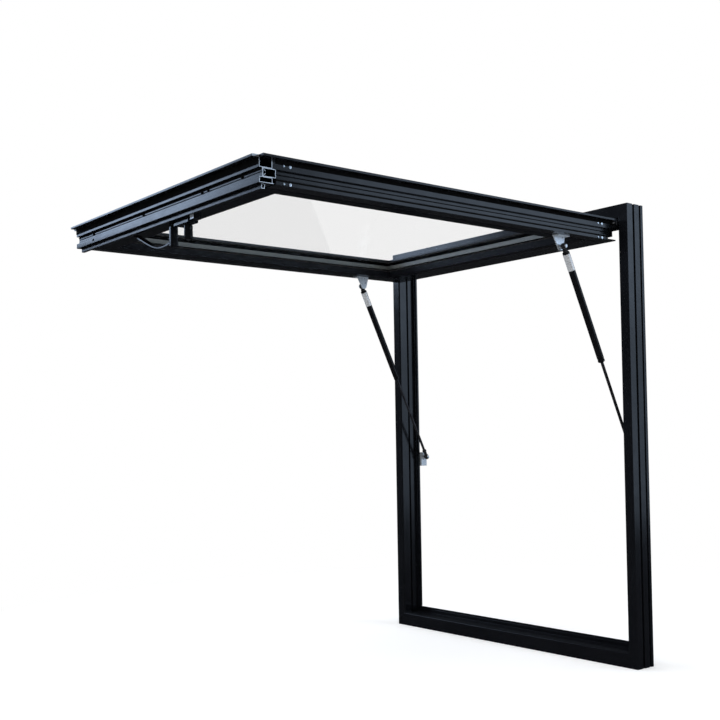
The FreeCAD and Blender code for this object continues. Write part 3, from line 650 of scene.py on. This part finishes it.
def build_frame():
    sizes = bpy.context.scene.awning_frame
    half, top = FRAME_HALF, FRAME_TOP
    jamb, sill, head = sizes.jamb_face, sizes.sill_face, sizes.head_face
    gap = sizes.mitre_gap
    for side_name, side in SIDES:
        corner_low = Vector((side * half, 0, 0))
        corner_high = Vector((side * half, 0, top))
        loops = [[(side * (half - width), FRAME_FRONT + depth, 0) for depth, width in loop]
                 for loop in frame_section(sizes, jamb, sizes.jamb_stop)]
        bm = bmesh.new()
        low_plane = Vector((-side * sill, 0, -jamb)).normalized()
        high_plane = Vector((-side * head, 0, jamb)).normalized()
        add_bar(bm, loops, Z, 0, top, sizes.edge,
                ((corner_low - low_plane * gap, low_plane),
                 (corner_high - high_plane * gap, high_plane)))
        finish_piece(f"{side_name}_jamb_profile", bm, "frame", ["frame", "frame"],
                     [f"{side_name}_jamb"])
    for label, face, stop, level, turn in (("sill", sill, sizes.sill_stop, 0.0, 1),
                                           ("head", head, sizes.head_stop, top, -1)):
        loops = [[(0, FRAME_FRONT + depth, level + turn * width) for depth, width in loop]
                 for loop in frame_section(sizes, face, stop)]
        normals = [Vector((side * face, 0, turn * jamb)).normalized() for side in (-1, 1)]
        planes = [(Vector((side * half, 0, level)) - normal * gap, normal)
                  for side, normal in zip((-1, 1), normals)]
        bm = bmesh.new()
        add_bar(bm, loops, X, -half, half, sizes.edge, planes)
        finish_piece(f"{label}_profile", bm, "frame", ["frame", "frame"],
                     [f"frame_{label}"])


# Hinge


def build_hinge():
    softened_copy("hinge_pin_rail", "head_hinge_rail", "frame", "hinge", 0.0004)
    softened_copy("hinge_hook_rail", "sash_hinge_rail", "sash", "hinge", 0.0004)


# Sash


def sash_chambers(sizes):
    """The hollow chambers that every sash bar shares, as (width, level) outlines.

    Each chamber is its outside and its hollow: the flange's chamber, the middle, the room side.
    """
    body, middle, outer = sizes.body_start, sizes.break_start, sizes.outer_end
    level_1, level_2, level_3 = sizes.outer_level, sizes.break_level, sizes.body_level
    wall = bpy.context.scene.awning_frame.wall
    crimp, crimp_level = sizes.crimp, sizes.crimp_level
    first = [(0, 0), (outer, 0), (outer, level_1), (body, level_1), (body, sizes.flange),
             (0, sizes.flange)]
    second = [(middle, level_1), (sizes.rebate, level_1), (sizes.rebate, level_2),
              (middle, level_2), (middle, crimp_level + crimp), (middle + crimp, crimp_level),
              (middle, crimp_level - crimp)]
    hook = outer + sizes.bead_hook
    third = [(body, level_2), (outer, level_2), (outer, level_3 - wall), (hook, level_3 - wall),
             (hook, level_3), (body, level_3)]
    return (
        [first, rectangle(body + wall, outer - wall, wall, level_1 - wall)],
        [second, rectangle(middle + wall + crimp, sizes.rebate - wall,
                           level_1 + wall, level_2 - wall)],
        [third, rectangle(body + wall, outer - wall, level_2 + wall, level_3 - wall)],
    )


def top_chambers(sizes):
    """The top rail's chambers as (reach, level) outlines, stepped on the hinge side."""
    wall = bpy.context.scene.awning_frame.wall
    width = sizes.top_width
    level_1, level_2, level_3 = sizes.outer_level, sizes.break_level, sizes.body_level
    first = [(sizes.top_face, 0), (width, 0), (width, level_1), (sizes.top_outer, level_1),
             (sizes.top_outer, sizes.flange), (sizes.top_face, sizes.flange)]
    return (
        [first, rectangle(sizes.top_outer + wall, width - wall, wall, level_1 - wall)],
        [rectangle(sizes.top_break, width, level_1, level_2),
         rectangle(sizes.top_break + wall, width - wall, level_1 + wall, level_2 - wall)],
        [rectangle(sizes.top_inner, width, level_2, level_3),
         rectangle(sizes.top_inner + wall, width - wall, level_2 + wall, level_3 - wall)],
    )


def add_block(bm, low, high, edge=0.0, segments=2):
    """A box between two corners with rounded edges."""
    low, high = Vector(low), Vector(high)
    verts = bmesh.ops.create_cube(bm, size=1.0)["verts"]
    bmesh.ops.scale(bm, vec=high - low, verts=verts)
    bmesh.ops.translate(bm, vec=(high + low) / 2, verts=verts)
    edges = list({item for vert in verts for item in vert.link_edges})
    if edge:
        bmesh.ops.bevel(bm, geom=edges, offset=edge, offset_type="OFFSET", segments=segments,
                        profile=0.5, affect="EDGES", clamp_overlap=True, material=-1)


def add_screw(bm, place, axis, radius, height=0.0012):
    """A domed screw head with a small socket in its middle."""
    turned(bm, [(0.0, 0.0), (0.0, radius), (height * 0.55, radius), (height * 0.85, radius * 0.95),
                (height, radius * 0.82), (height, radius * 0.26), (height * 0.3, radius * 0.22),
                (height * 0.3, 0.0)], Vector(place), axis, 20)


def add_sweep(bm, stations, depth):
    """A rounded flat bar swept through (place, outward, thickness) stations in one plane."""
    rings = []
    for place, outward, thickness in stations:
        outward = Vector(outward).normalized()
        half, round_off = thickness / 2, min(thickness, depth) * 0.2
        corners = [(half, depth / 2 - round_off), (half - round_off, depth / 2),
                   (round_off - half, depth / 2), (-half, depth / 2 - round_off)]
        corners += [(-a, -b) for a, b in corners]
        verts = [bm.verts.new(Vector(place) + outward * a + Y * b) for a, b in corners]
        rings.append([bm.edges.new((verts[i], verts[(i + 1) % 8])) for i in range(8)])
    for first, second in zip(rings, rings[1:]):
        bmesh.ops.bridge_loops(bm, edges=first + second)
    for ring in (rings[0], rings[-1]):
        bmesh.ops.edgeloop_fill(bm, edges=ring)
    bmesh.ops.recalc_face_normals(bm, faces=bm.faces)


def build_sash():
    sizes = bpy.context.scene.awning_sash
    build_rails(sizes, bpy.context.scene.awning_frame.edge)
    for side_name, side in SIDES:
        build_stile(sizes, side_name, side, bpy.context.scene.awning_frame.edge)
    build_seals(sizes)
    build_sash_screws(sizes)


def build_rails(sizes, edge):
    """The bottom rail with its sawn ends, and the top rail between the stiles."""
    half = SASH_HALF - sizes.body_start
    lip_half = SASH_HALF - sizes.sight

    def bottom(loop):
        return [(0, SASH_TIP + width, SASH_FACE - level) for width, level in loop]

    def top(loop):
        return [(0, HINGE.y - reach, SASH_FACE - level) for reach, level in loop]

    bm = bmesh.new()
    for chamber in sash_chambers(sizes):
        add_bar(bm, [bottom(loop) for loop in chamber], X, -half, half, edge)
    leg_end = sizes.leg_start + sizes.leg_width
    leg_half = half - sizes.leg_end_gap
    wall = bpy.context.scene.awning_frame.wall
    leg = [rectangle(sizes.leg_start, leg_end, sizes.body_level, sizes.leg_level),
           rectangle(sizes.leg_start + wall, leg_end - wall, sizes.body_level + wall,
                     sizes.leg_level - wall)]
    add_bar(bm, [bottom(loop) for loop in leg], X, -leg_half, leg_half, edge)
    inside = sizes.break_start + wall
    for level, turn in ((sizes.outer_level + wall, 1), (sizes.break_level - wall, -1)):
        rib = [(inside, level), (inside + 0.0015, level), (inside + 0.0075, level + turn * 0.0055),
               (inside + 0.0060, level + turn * 0.0055)]
        add_bar(bm, [bottom(rib)], X, -half, half)
    lip = rectangle(sizes.outer_end, sizes.bottom_sight, 0, sizes.lip_level)
    add_bar(bm, [bottom(lip)], X, -lip_half, lip_half, edge)
    finish_piece("bottom_rail_profile", bm, "sash", ["powder", "raw"],
                 ["sash_bottom_rail"])
    bm = bmesh.new()
    ends = (SASH_HALF - sizes.outer_end, SASH_HALF - sizes.rebate, SASH_HALF - sizes.outer_end)
    for chamber, end in zip(top_chambers(sizes), ends):
        add_bar(bm, [top(loop) for loop in chamber], X, -end, end, edge)
    lip = rectangle(sizes.top_width, sizes.top_sight, 0, sizes.lip_level)
    add_bar(bm, [top(lip)], X, -lip_half, lip_half, edge)
    room_lip = rectangle(sizes.top_lip_start, sizes.top_inner, sizes.body_level - sizes.top_lip,
                         sizes.body_level)
    add_bar(bm, [top(room_lip)], X, -half, half, edge)
    finish_piece("top_rail_profile", bm, "sash", ["powder", "powder"],
                 ["sash_top_rail"])


def build_stile(sizes, side_name, side, edge):
    """A stile of three chambers that run on to the hinge in steps, with its flange and lip."""
    near, far = SASH_TIP + sizes.rebate, HINGE.y - sizes.top_width

    def place(loop):
        return [(side * (SASH_HALF - width), 0, SASH_FACE - level) for width, level in loop]

    bm = bmesh.new()
    starts = (SASH_TIP + sizes.outer_end, near, near)
    steps = (sizes.top_outer, sizes.top_break, sizes.top_inner)
    for chamber, start, reach in zip(sash_chambers(sizes), starts, steps):
        add_bar(bm, [place(loop) for loop in chamber], Y, start, HINGE.y - reach, edge)
    add_bar(bm, [place(rectangle(sizes.outer_end, sizes.sight, 0, sizes.lip_level))],
            Y, SASH_TIP + sizes.outer_end, far, edge)
    add_bar(bm, [place(rectangle(0, sizes.body_start, 0, sizes.flange))],
            Y, SASH_TIP + sizes.body_start, SASH_TIP + sizes.outer_end, edge)
    add_bar(bm, [place(rectangle(0, sizes.outer_end, 0, sizes.flange))],
            Y, HINGE.y - sizes.top_outer, HINGE.y - sizes.top_face, edge)
    finish_piece(f"{side_name}_stile_profile", bm, "sash", ["powder", "powder"],
                 [f"sash_{side_name}_stile"])


def build_seals(sizes):
    """The matt seal under the flange, a dark line on each stile and the break strip in the bottom
    rail's recess. The seal and the strip are partly real parts whose reach is set to paint the shade
    under the flange and in the recess; the stile's dark line is painted shade just below the step.
    """
    body = sizes.body_start
    half = SASH_HALF - body
    # Seal down to its level: partly a real seal, partly painted shade under the flange
    seal = rectangle(body - sizes.seal, body, sizes.flange, sizes.front_seal_shade_level)
    bm = bmesh.new()
    add_bar(bm, [[(0, SASH_TIP + width, SASH_FACE - level) for width, level in seal]],
            X, -half, half, 0.0003)
    seal = rectangle(body - sizes.seal, body, sizes.flange, sizes.seal_shade_level)
    # Painted shade: a thin dark strip just below the step on each stile
    line = rectangle(body - 0.0004, body, sizes.shade_line_level, sizes.shade_line_level + sizes.line_width)
    for side in (-1, 1):
        for loop, far in ((seal, sizes.top_outer), (line, sizes.top_inner)):
            add_bar(bm, [[(side * (SASH_HALF - width), 0, SASH_FACE - level)
                          for width, level in loop]], Y, SASH_TIP + sizes.rebate, HINGE.y - far)
    finish_piece("flange_seal_and_painted_shade", bm, "sash", ["seal", "seal"])
    # Break strip: partly a real polyamide strip, partly painted shade in the recess
    start = sizes.break_start
    strip = rectangle(start - sizes.seal, start, sizes.outer_level + sizes.seal,
                      sizes.break_strip_shade_level)
    bm = bmesh.new()
    add_bar(bm, [[(0, SASH_TIP + width, SASH_FACE - level) for width, level in strip]],
            X, -half, half, 0.0003)
    finish_piece("break_strip_and_painted_shade", bm, "sash", ["seal", "seal"])


def build_sash_screws(sizes):
    """Bright corner screws in both stiles and small dark ones along the bottom rail."""
    bm = bmesh.new()
    for side in (-1, 1):
        across = side * (SASH_HALF - sizes.body_start)
        for start in (0.0740, 1.0460):
            for level in (0.0145, 0.0505):
                for along, size in ((0.0, 0.7), (0.0150, 1.0)):
                    add_screw(bm, (across, SASH_TIP + start + along, SASH_FACE - level),
                              X * side, sizes.screw_radius * size)
    finish_piece("corner_screws", bm, "sash", ["screw"])
    bm = bmesh.new()
    low = SASH_TIP + sizes.break_start
    for across in (-0.3444, -0.0698, 0.2013, 0.2269, 0.3615):
        add_screw(bm, (across, low, SASH_FACE - sizes.break_strip_shade_level - 0.0018), -Y, 0.0032, 0.0022)
    add_screw(bm, (-0.334, SASH_TIP + sizes.body_start, SASH_FACE - 0.0465), -Y, 0.0028, 0.0010)
    finish_piece("rail_screws", bm, "sash", ["seal"])


# Glazing


def build_glazing():
    # The outer pane takes the glass with the painted reflection edge
    for node, finish, slot in (("glass_outer_pane", "painted_reflection", "clear_glass"),
                               ("glass_inner_pane", "glass", "clear_glass"),
                               ("glass_spacer", "spacer", "spacer"),
                               ("outer_glazing_gasket", "rubber", "seal_rubber"),
                               ("inner_glazing_gasket", "rubber", "seal_rubber")):
        softened_copy(f"{node}_part", node, "sash", finish, 0.0006)
    for place in ("top", "bottom", "left", "right"):
        softened_copy(f"{place}_bead", f"{place}_glazing_bead", "sash", "bead",
                      0.0008)


# Gas struts


def build_struts():
    sizes = bpy.context.scene.awning_struts
    for side_name, side in SIDES:
        pivot = Vector(JOINTS[f"{side_name}_strut_turn"]["pos_m"])
        down = -Vector(JOINTS[f"{side_name}_strut_slide"]["axis"]).normalized()
        low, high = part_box(f"{side_name}_strut_rod_end")
        reach = (high.y - sizes.foot_inset - pivot.y) / down.y
        build_tube(sizes, side_name, pivot, down)
        build_rod(sizes, side_name, side, pivot, down, reach)
        build_brackets(sizes, side_name, side, pivot)


def socket_outline(sizes, collar):
    """A ball socket and its threaded neck, from the ball's middle outwards."""
    ball, neck = sizes.eye_radius, sizes.neck_radius
    return [(-ball, 0.0), (-ball, ball * 0.55), (-ball * 0.7, ball * 0.9), (-ball * 0.3, ball),
            (ball * 0.3, ball), (ball * 0.75, ball * 0.85), (ball, neck), (collar - 0.006, neck),
            (collar - 0.005, neck + 0.0015), (collar, neck + 0.0015), (collar, 0.0)]


def build_tube(sizes, side_name, pivot, down):
    radius, bore = sizes.tube_radius, sizes.rod_radius + 0.0003
    start, end = sizes.tube_start, sizes.tube_end
    body = f"{side_name}_tube"
    bm = bmesh.new()
    turned(bm, [(start, 0.0), (start, radius - 0.0015), (start + 0.0015, radius),
                (end - 0.010, radius), (end - 0.008, radius - 0.0012),
                (end - 0.006, radius), (end - 0.0015, radius), (end, radius - 0.0015),
                (end, bore), (end - 0.012, bore), (end - 0.012, radius - 0.0015),
                (start + 0.008, radius - 0.0015), (start + 0.008, 0.0)], pivot, down)
    finish_piece(f"{side_name}_gas_tube", bm, body, ["tube"],
                 [f"{side_name}_strut_tube"])
    bm = bmesh.new()
    sleeve = radius + 0.0003
    turned(bm, [(sizes.sleeve_start, radius - 0.0005), (sizes.sleeve_start, sleeve),
                (sizes.sleeve_end, sleeve), (sizes.sleeve_end, radius - 0.0005)], pivot, down)
    finish_piece(f"{side_name}_blank_sleeve", bm, body, ["sleeve"])
    bm = bmesh.new()
    turned(bm, socket_outline(sizes, start), pivot, down)
    finish_piece(f"{side_name}_top_socket", bm, body, ["plastic"],
                 [f"{side_name}_strut_top_eye"])
    bm = bmesh.new()
    clip = sizes.eye_radius + 0.0004
    turned(bm, [(0.0035, clip - 0.001), (0.0035, clip), (0.0047, clip), (0.0047, clip - 0.001)],
           pivot, down)
    finish_piece(f"{side_name}_socket_clip", bm, body, ["screw"])


def build_rod(sizes, side_name, side, pivot, down, reach):
    """The rod, the socket at its foot and the ball stud beside the jamb's bracket."""
    body = f"{side_name}_rod"
    bm = bmesh.new()
    turned(bm, [(sizes.tube_end - 0.018, 0.0), (sizes.tube_end - 0.018, sizes.rod_radius),
                (reach - sizes.neck, sizes.rod_radius), (reach - sizes.neck, 0.0)], pivot, down)
    finish_piece(f"{side_name}_polished_rod", bm, body, ["rod"],
                 [f"{side_name}_strut_rod"])
    foot = pivot + down * reach
    bm = bmesh.new()
    turned(bm, socket_outline(sizes, sizes.neck), foot, -down)
    finish_piece(f"{side_name}_foot_socket", bm, body, ["plastic"],
                 [f"{side_name}_strut_rod_end"])
    bm = bmesh.new()
    stud = sizes.tube_radius + 0.0005
    turned(bm, [(-0.0085, 0.0), (-0.0085, 0.0026), (-0.0075, 0.0040), (-0.0060, 0.0046),
                (0.0060, 0.0046), (0.0070, 0.0035), (stud, 0.0035), (stud, 0.0)], foot, X * side)
    finish_piece(f"{side_name}_foot_stud", bm, body, ["screw"])


def build_brackets(sizes, side_name, side, pivot):
    """Both plated brackets with their screws."""
    softened_copy(f"{side_name}_gusset", f"{side_name}_sash_bracket", "sash",
                  "zinc", 0.0006)
    softened_copy(f"{side_name}_jamb_angle", f"{side_name}_frame_bracket", "frame",
                  "zinc", 0.0006)
    low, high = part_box(f"{side_name}_sash_bracket")
    foot_x = low.x + 0.009 if side > 0 else high.x - 0.009
    bm = bmesh.new()
    for along in (low.y + 0.008, high.y - 0.008):
        add_screw(bm, (foot_x, along, high.z - 0.003), -Z, sizes.rivet_radius)
    finish_piece(f"{side_name}_gusset_rivets", bm, "sash", ["screw"])
    low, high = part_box(f"{side_name}_frame_bracket")
    foot_x = low.x + 0.012 if side > 0 else high.x - 0.012
    bm = bmesh.new()
    for along in (low.z + 0.009, high.z - 0.009):
        add_screw(bm, (foot_x, low.y + 0.003, along), Y, sizes.rivet_radius)
    finish_piece(f"{side_name}_angle_screws", bm, "frame", ["screw"])


# Handle


def build_handle():
    sizes = bpy.context.scene.awning_handle
    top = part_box("handle_plate")[1].z
    build_lock(sizes, top)
    build_lever(sizes, top - sizes.plate - 0.0005)


def build_lock(sizes, top):
    """The base plate, the lock case beside it and the key barrel under the case."""
    turn_x, row = HANDLE.x, HANDLE.y
    half = sizes.plate_width / 2
    bm = bmesh.new()
    add_block(bm, (turn_x - sizes.plate_end, row - half, top - sizes.plate),
              (turn_x + sizes.case_start + 0.001, row + half, top), 0.0008)
    add_block(bm, (turn_x + sizes.case_start, row - half, top - sizes.case_depth),
              (turn_x + sizes.case_end, row + half, top), 0.0010)
    finish_piece("lock_case", bm, "sash", ["handle"], ["handle_plate"])
    end = turn_x + sizes.case_end
    bm = bmesh.new()
    add_block(bm, (end + 0.008, row - half + 0.001, top - sizes.case_depth + 0.003),
              (end + 0.025, row + half - 0.006, top), 0.0012)
    finish_piece("keeper_block", bm, "sash", ["handle"])
    bm = bmesh.new()
    add_block(bm, (end + 0.009, row - half, top - sizes.case_depth + 0.004),
              (end + 0.024, row - half + 0.001, top - 0.005), 0.0003)
    finish_piece("keeper_plate", bm, "sash", ["zinc"])
    start, radius, length = sizes.barrel_neck, sizes.barrel_radius, sizes.barrel_length
    centre = Vector((turn_x + sizes.barrel, row, top))
    bm = bmesh.new()
    turned(bm, [(0.0, 0.0), (0.0, 0.0065), (sizes.case_depth + 0.0015, 0.0065),
                (sizes.case_depth + 0.002, 0.0046), (start, 0.0046), (start + 0.0005, radius - 0.002),
                (start + 0.0025, radius), (start + length * 0.30, radius),
                (start + length * 0.32, radius - 0.0006), (start + length * 0.35, radius - 0.0006),
                (start + length * 0.37, radius), (start + length - 0.006, radius),
                (start + length - 0.003, radius - 0.001), (start + length - 0.001, radius - 0.0025),
                (start + length, 0.0060), (start + length - 0.001, 0.0055),
                (start + length - 0.001, 0.0)], centre, -Z)
    finish_piece("key_barrel", bm, "sash", ["handle"], ["lock_barrel"])
    bm = bmesh.new()
    face = Vector((centre.x, centre.y, top - start - length + 0.001))
    turned(bm, [(-0.001, 0.0), (-0.001, 0.0050), (0.0005, 0.0050), (0.0008, 0.0046),
                (0.0008, 0.0)], face, -Z, 24)
    add_block(bm, face - Vector((0.0035, 0.0006, 0.0010)), face + Vector((0.0035, 0.0006, -0.0002)))
    finish_piece("key_face", bm, "sash", ["screw"])


def build_lever(sizes, top):
    """The boss, the post and the bow that curves away to the left and back to the rail."""
    turn_x, row = HANDLE.x, HANDLE.y
    half = sizes.post_depth / 2
    middle = turn_x - sizes.post_offset
    left, right = middle - sizes.post_width / 2, middle + sizes.post_width / 2
    low = top - sizes.post_length
    bm = bmesh.new()
    turned(bm, [(-0.008, 0.0), (-0.008, 0.005), (0.0, 0.005), (0.0, sizes.boss_radius),
                (0.006, sizes.boss_radius), (0.008, sizes.boss_radius - 0.002), (0.008, 0.0)],
           Vector((turn_x, row, top)), -Z)
    add_block(bm, (left, row - half, low), (right, row + half, top), 0.0040, 4)
    thick = sizes.bow_thick
    path = ((middle, 0.012, thick * 2.0), (left + 0.001, 0.0105, thick * 1.7),
            (left - 0.012, 0.0078, thick * 1.3), (left - 0.034, 0.0064, thick),
            (left - 0.058, 0.0082, thick), (left - 0.082, 0.0150, thick),
            (left - 0.106, 0.0245, thick), (left - 0.130, 0.0352, thick),
            (left - 0.152, 0.0450, thick * 0.95), (left - 0.176, 0.0565, thick * 0.8))
    stations = []
    for number, (across, rise, thickness) in enumerate(path):
        before, after = path[max(number - 1, 0)], path[min(number + 1, len(path) - 1)]
        outward = (-(after[1] - before[1]), 0, after[0] - before[0])
        stations.append(((across, row, low + rise), outward, thickness))
    add_sweep(bm, stations, sizes.post_depth)
    finish_piece("bow_lever", bm, "handle", ["handle"], ["handle_lever"])


# Stage


def build_stage():
    stage = bpy.context.scene.awning_stage
    colours = bpy.context.scene.awning_colours
    bm = bmesh.new()
    bmesh.ops.create_grid(bm, x_segments=8, y_segments=8, size=stage.floor_reach)
    mesh = bpy.data.meshes.new("studio_floor")
    bm.to_mesh(mesh)
    bm.free()
    floor = bpy.data.objects.new("studio_floor", mesh)
    bpy.context.scene.collection.objects.link(floor)
    mesh.materials.append(floor_finish(tuple(colours.floor), 0.7, 1.9))
    build_world()
    build_lamps()
    build_camera(stage)
    bpy.context.scene.view_settings.view_transform = "Standard"


def light_path(tree, *kinds):
    """1 for the named kinds of ray and 0 for the others."""
    path = tree.nodes.new("ShaderNodeLightPath")
    found = path.outputs[kinds[0]]
    for kind in kinds[1:]:
        either = tree.nodes.new("ShaderNodeMath")
        either.operation = "MAXIMUM"
        tree.links.new(found, either.inputs[0])
        tree.links.new(path.outputs[kind], either.inputs[1])
        found = either.outputs["Value"]
    return found


def product(tree, first, second):
    node = tree.nodes.new("ShaderNodeMath")
    node.operation = "MULTIPLY"
    for number, item in enumerate((first, second)):
        if isinstance(item, float):
            node.inputs[number].default_value = item
        else:
            tree.links.new(item, node.inputs[number])
    return node.outputs["Value"]


def floor_finish(colour, near, far):
    """Pale matt floor under the window, which runs out into the white backdrop.

    Reflections see a darker floor, because satin black shows a bright one as a veil.
    """
    finish, tree, shader, place = new_finish("studio_floor")
    seen = light_path(tree, "Is Camera Ray", "Is Transmission Ray")
    mirrored = light_path(tree, "Is Glossy Ray")
    patches = noise(tree, place, 0.6, detail=2.0)
    tint = blend_colours(tree, spread(tree, patches, 0.0, 1.0), colour, scaled(colour, 0.99))
    dull = tree.nodes.new("ShaderNodeMix")
    dull.data_type = "RGBA"
    dull.inputs["B"].default_value = (0.03, 0.03, 0.033, 1)
    tree.links.new(mirrored, dull.inputs["Factor"])
    tree.links.new(tint, dull.inputs["A"])
    tree.links.new(dull.outputs["Result"], shader.inputs["Base Color"])
    shader.inputs["Roughness"].default_value = 0.9
    shader.inputs["Specular IOR Level"].default_value = 0.1
    shader.inputs["Emission Color"].default_value = (1, 1, 1, 1)
    tree.links.new(product(tree, seen, 0.27), shader.inputs["Emission Strength"])
    reach = tree.nodes.new("ShaderNodeVectorMath")
    reach.operation = "LENGTH"
    tree.links.new(place, reach.inputs[0])
    beyond = spread(tree, reach.outputs["Value"], 0.0, 1.0, near, far)
    backdrop = tree.nodes.new("ShaderNodeEmission")
    mix = tree.nodes.new("ShaderNodeMixShader")
    tree.links.new(product(tree, beyond, seen), mix.inputs["Fac"])
    tree.links.new(shader.outputs["BSDF"], mix.inputs[1])
    tree.links.new(backdrop.outputs["Emission"], mix.inputs[2])
    tree.links.new(mix.outputs["Shader"], tree.nodes["Material Output"].inputs["Surface"])
    return finish


def build_world():
    """White behind the window, and a dim room round it."""
    world = bpy.data.worlds.new("studio_world")
    bpy.context.scene.world = world
    world.use_nodes = True
    tree = world.node_tree
    tree.nodes.clear()
    shaders = []
    for colour, strength in (((0.96, 0.98, 1.0, 1), 0.40), ((0.75, 0.85, 1.0, 1), 0.05),
                             ((1, 1, 1, 1), 1.0)):
        shader = tree.nodes.new("ShaderNodeBackground")
        shader.inputs["Color"].default_value = colour
        shader.inputs["Strength"].default_value = strength
        shaders.append(shader.outputs["Background"])
    for factor, upper in ((light_path(tree, "Is Glossy Ray"), 1),
                          (light_path(tree, "Is Camera Ray", "Is Transmission Ray"), 2)):
        mix = tree.nodes.new("ShaderNodeMixShader")
        tree.links.new(factor, mix.inputs["Fac"])
        tree.links.new(shaders[0], mix.inputs[1])
        tree.links.new(shaders[upper], mix.inputs[2])
        shaders[0] = mix.outputs["Shader"]
    output = tree.nodes.new("ShaderNodeOutputWorld")
    tree.links.new(shaders[0], output.inputs["Surface"])


def add_lamp(name, place, target, size, power, colour=(1, 1, 1)):
    lamp = bpy.data.lights.new(name, "AREA")
    lamp.shape = "RECTANGLE"
    lamp.size, lamp.size_y = size
    lamp.energy = power
    lamp.color = colour
    holder = bpy.data.objects.new(name, lamp)
    holder.location = place
    aim = Vector(target) - Vector(place)
    holder.rotation_euler = aim.to_track_quat("-Z", "Y").to_euler()
    holder.visible_camera = False
    bpy.context.scene.collection.objects.link(holder)


def build_lamps():
    add_lamp("overhead_softbox", (0.2, -0.8, 4.2), (0, -0.3, 0.4), (3.5, 3.5), 150)
    add_lamp("left_softbox", (-4.0, -2.9, 2.66), (0, -1.1, 1.1), (1.6, 1.6), 42,
             (0.58, 0.74, 1.0))
    add_lamp("rear_right_softbox", (3.65, 2.6, 2.1), (0.4, -0.5, 1.0), (2.4, 1.5), 21,
             (0.62, 0.78, 1.0))
    add_lamp("low_rear_softbox", (3.65, 2.6, 0.70), (0.4, -0.5, 0.6), (2.4, 1.3), 11,
             (0.62, 0.78, 1.0))


def build_camera(stage):
    turn, tilt, roll = stage.azimuth, stage.elevation, stage.roll
    forward = Vector((-math.sin(turn) * math.cos(tilt), math.cos(turn) * math.cos(tilt),
                      math.sin(tilt)))
    across = Vector((math.cos(turn), math.sin(turn), 0))
    upward = across.cross(forward)
    right = math.cos(roll) * across + math.sin(roll) * upward
    top = -math.sin(roll) * across + math.cos(roll) * upward
    lens = bpy.data.cameras.new("window_camera")
    lens.lens = stage.lens
    lens.sensor_width = 36.0
    lens.shift_x, lens.shift_y = stage.shift_x, stage.shift_y
    camera = bpy.data.objects.new("window_camera", lens)
    camera.matrix_world = Matrix.Translation(stage.camera_place) @ Matrix(
        (right, top, -forward)).transposed().to_4x4()
    bpy.context.scene.collection.objects.link(camera)
    bpy.context.scene.camera = camera


class AWNING_OT_finishes(Operator):
    """Makes the finishes that every piece uses"""
    bl_idname = "awning.finishes"
    bl_label = "Finishes"

    def execute(self, context):
        make_finishes()
        return {"FINISHED"}


class AWNING_OT_frame(Operator):
    """Models the sill, the head and both jambs"""
    bl_idname = "awning.frame"
    bl_label = "Frame profiles"

    def execute(self, context):
        build_frame()
        return {"FINISHED"}


class AWNING_OT_hinge(Operator):
    """Models both halves of the hook hinge along the head"""
    bl_idname = "awning.hinge"
    bl_label = "Hook hinge"

    def execute(self, context):
        build_hinge()
        return {"FINISHED"}


class AWNING_OT_sash(Operator):
    """Models the rails and stiles of the sash"""
    bl_idname = "awning.sash"
    bl_label = "Sash profiles"

    def execute(self, context):
        build_sash()
        return {"FINISHED"}


class AWNING_OT_glazing(Operator):
    """Models the double glass, its spacer, rubber seals and beads"""
    bl_idname = "awning.glazing"
    bl_label = "Glazing"

    def execute(self, context):
        build_glazing()
        return {"FINISHED"}


class AWNING_OT_struts(Operator):
    """Models both gas struts and their brackets"""
    bl_idname = "awning.struts"
    bl_label = "Gas struts"

    def execute(self, context):
        build_struts()
        return {"FINISHED"}


class AWNING_OT_handle(Operator):
    """Models the bow handle and the lock barrel"""
    bl_idname = "awning.handle"
    bl_label = "Handle and lock"

    def execute(self, context):
        build_handle()
        return {"FINISHED"}


class AWNING_OT_stage(Operator):
    """Sets up the floor, the light and the camera"""
    bl_idname = "awning.stage"
    bl_label = "Stage"

    def execute(self, context):
        build_stage()
        return {"FINISHED"}


class AWNING_PT_panel(Panel):
    """Lists the steps that dress the window"""
    bl_idname = "AWNING_PT_panel"
    bl_label = "Awning window"
    bl_space_type = "VIEW_3D"
    bl_region_type = "UI"
    bl_category = "Window"

    def draw(self, context):
        for step in STEPS:
            self.layout.operator(step.bl_idname)


STEPS = (AWNING_OT_finishes, AWNING_OT_frame, AWNING_OT_hinge, AWNING_OT_sash,
         AWNING_OT_glazing, AWNING_OT_struts, AWNING_OT_handle, AWNING_OT_stage)
GROUPS = (("awning_frame", FrameSizes), ("awning_sash", SashSizes), ("awning_struts", StrutSizes),
          ("awning_handle", HandleSizes), ("awning_colours", PaintColours),
          ("awning_stage", StageSizes))


def register():
    for name, group in GROUPS:
        bpy.utils.register_class(group)
        setattr(bpy.types.Scene, name, PointerProperty(type=group))
    for item in (*STEPS, AWNING_PT_panel):
        bpy.utils.register_class(item)


def unregister():
    for item in (AWNING_PT_panel, *reversed(STEPS)):
        bpy.utils.unregister_class(item)
    for name, group in reversed(GROUPS):
        delattr(bpy.types.Scene, name)
        bpy.utils.unregister_class(group)


def main():
    register()
    bpy.ops.awning.finishes()
    bpy.ops.awning.frame()
    bpy.ops.awning.hinge()
    bpy.ops.awning.sash()
    bpy.ops.awning.glazing()
    bpy.ops.awning.struts()
    bpy.ops.awning.handle()
    bpy.ops.awning.stage()


if __name__ == "__main__":
    main()
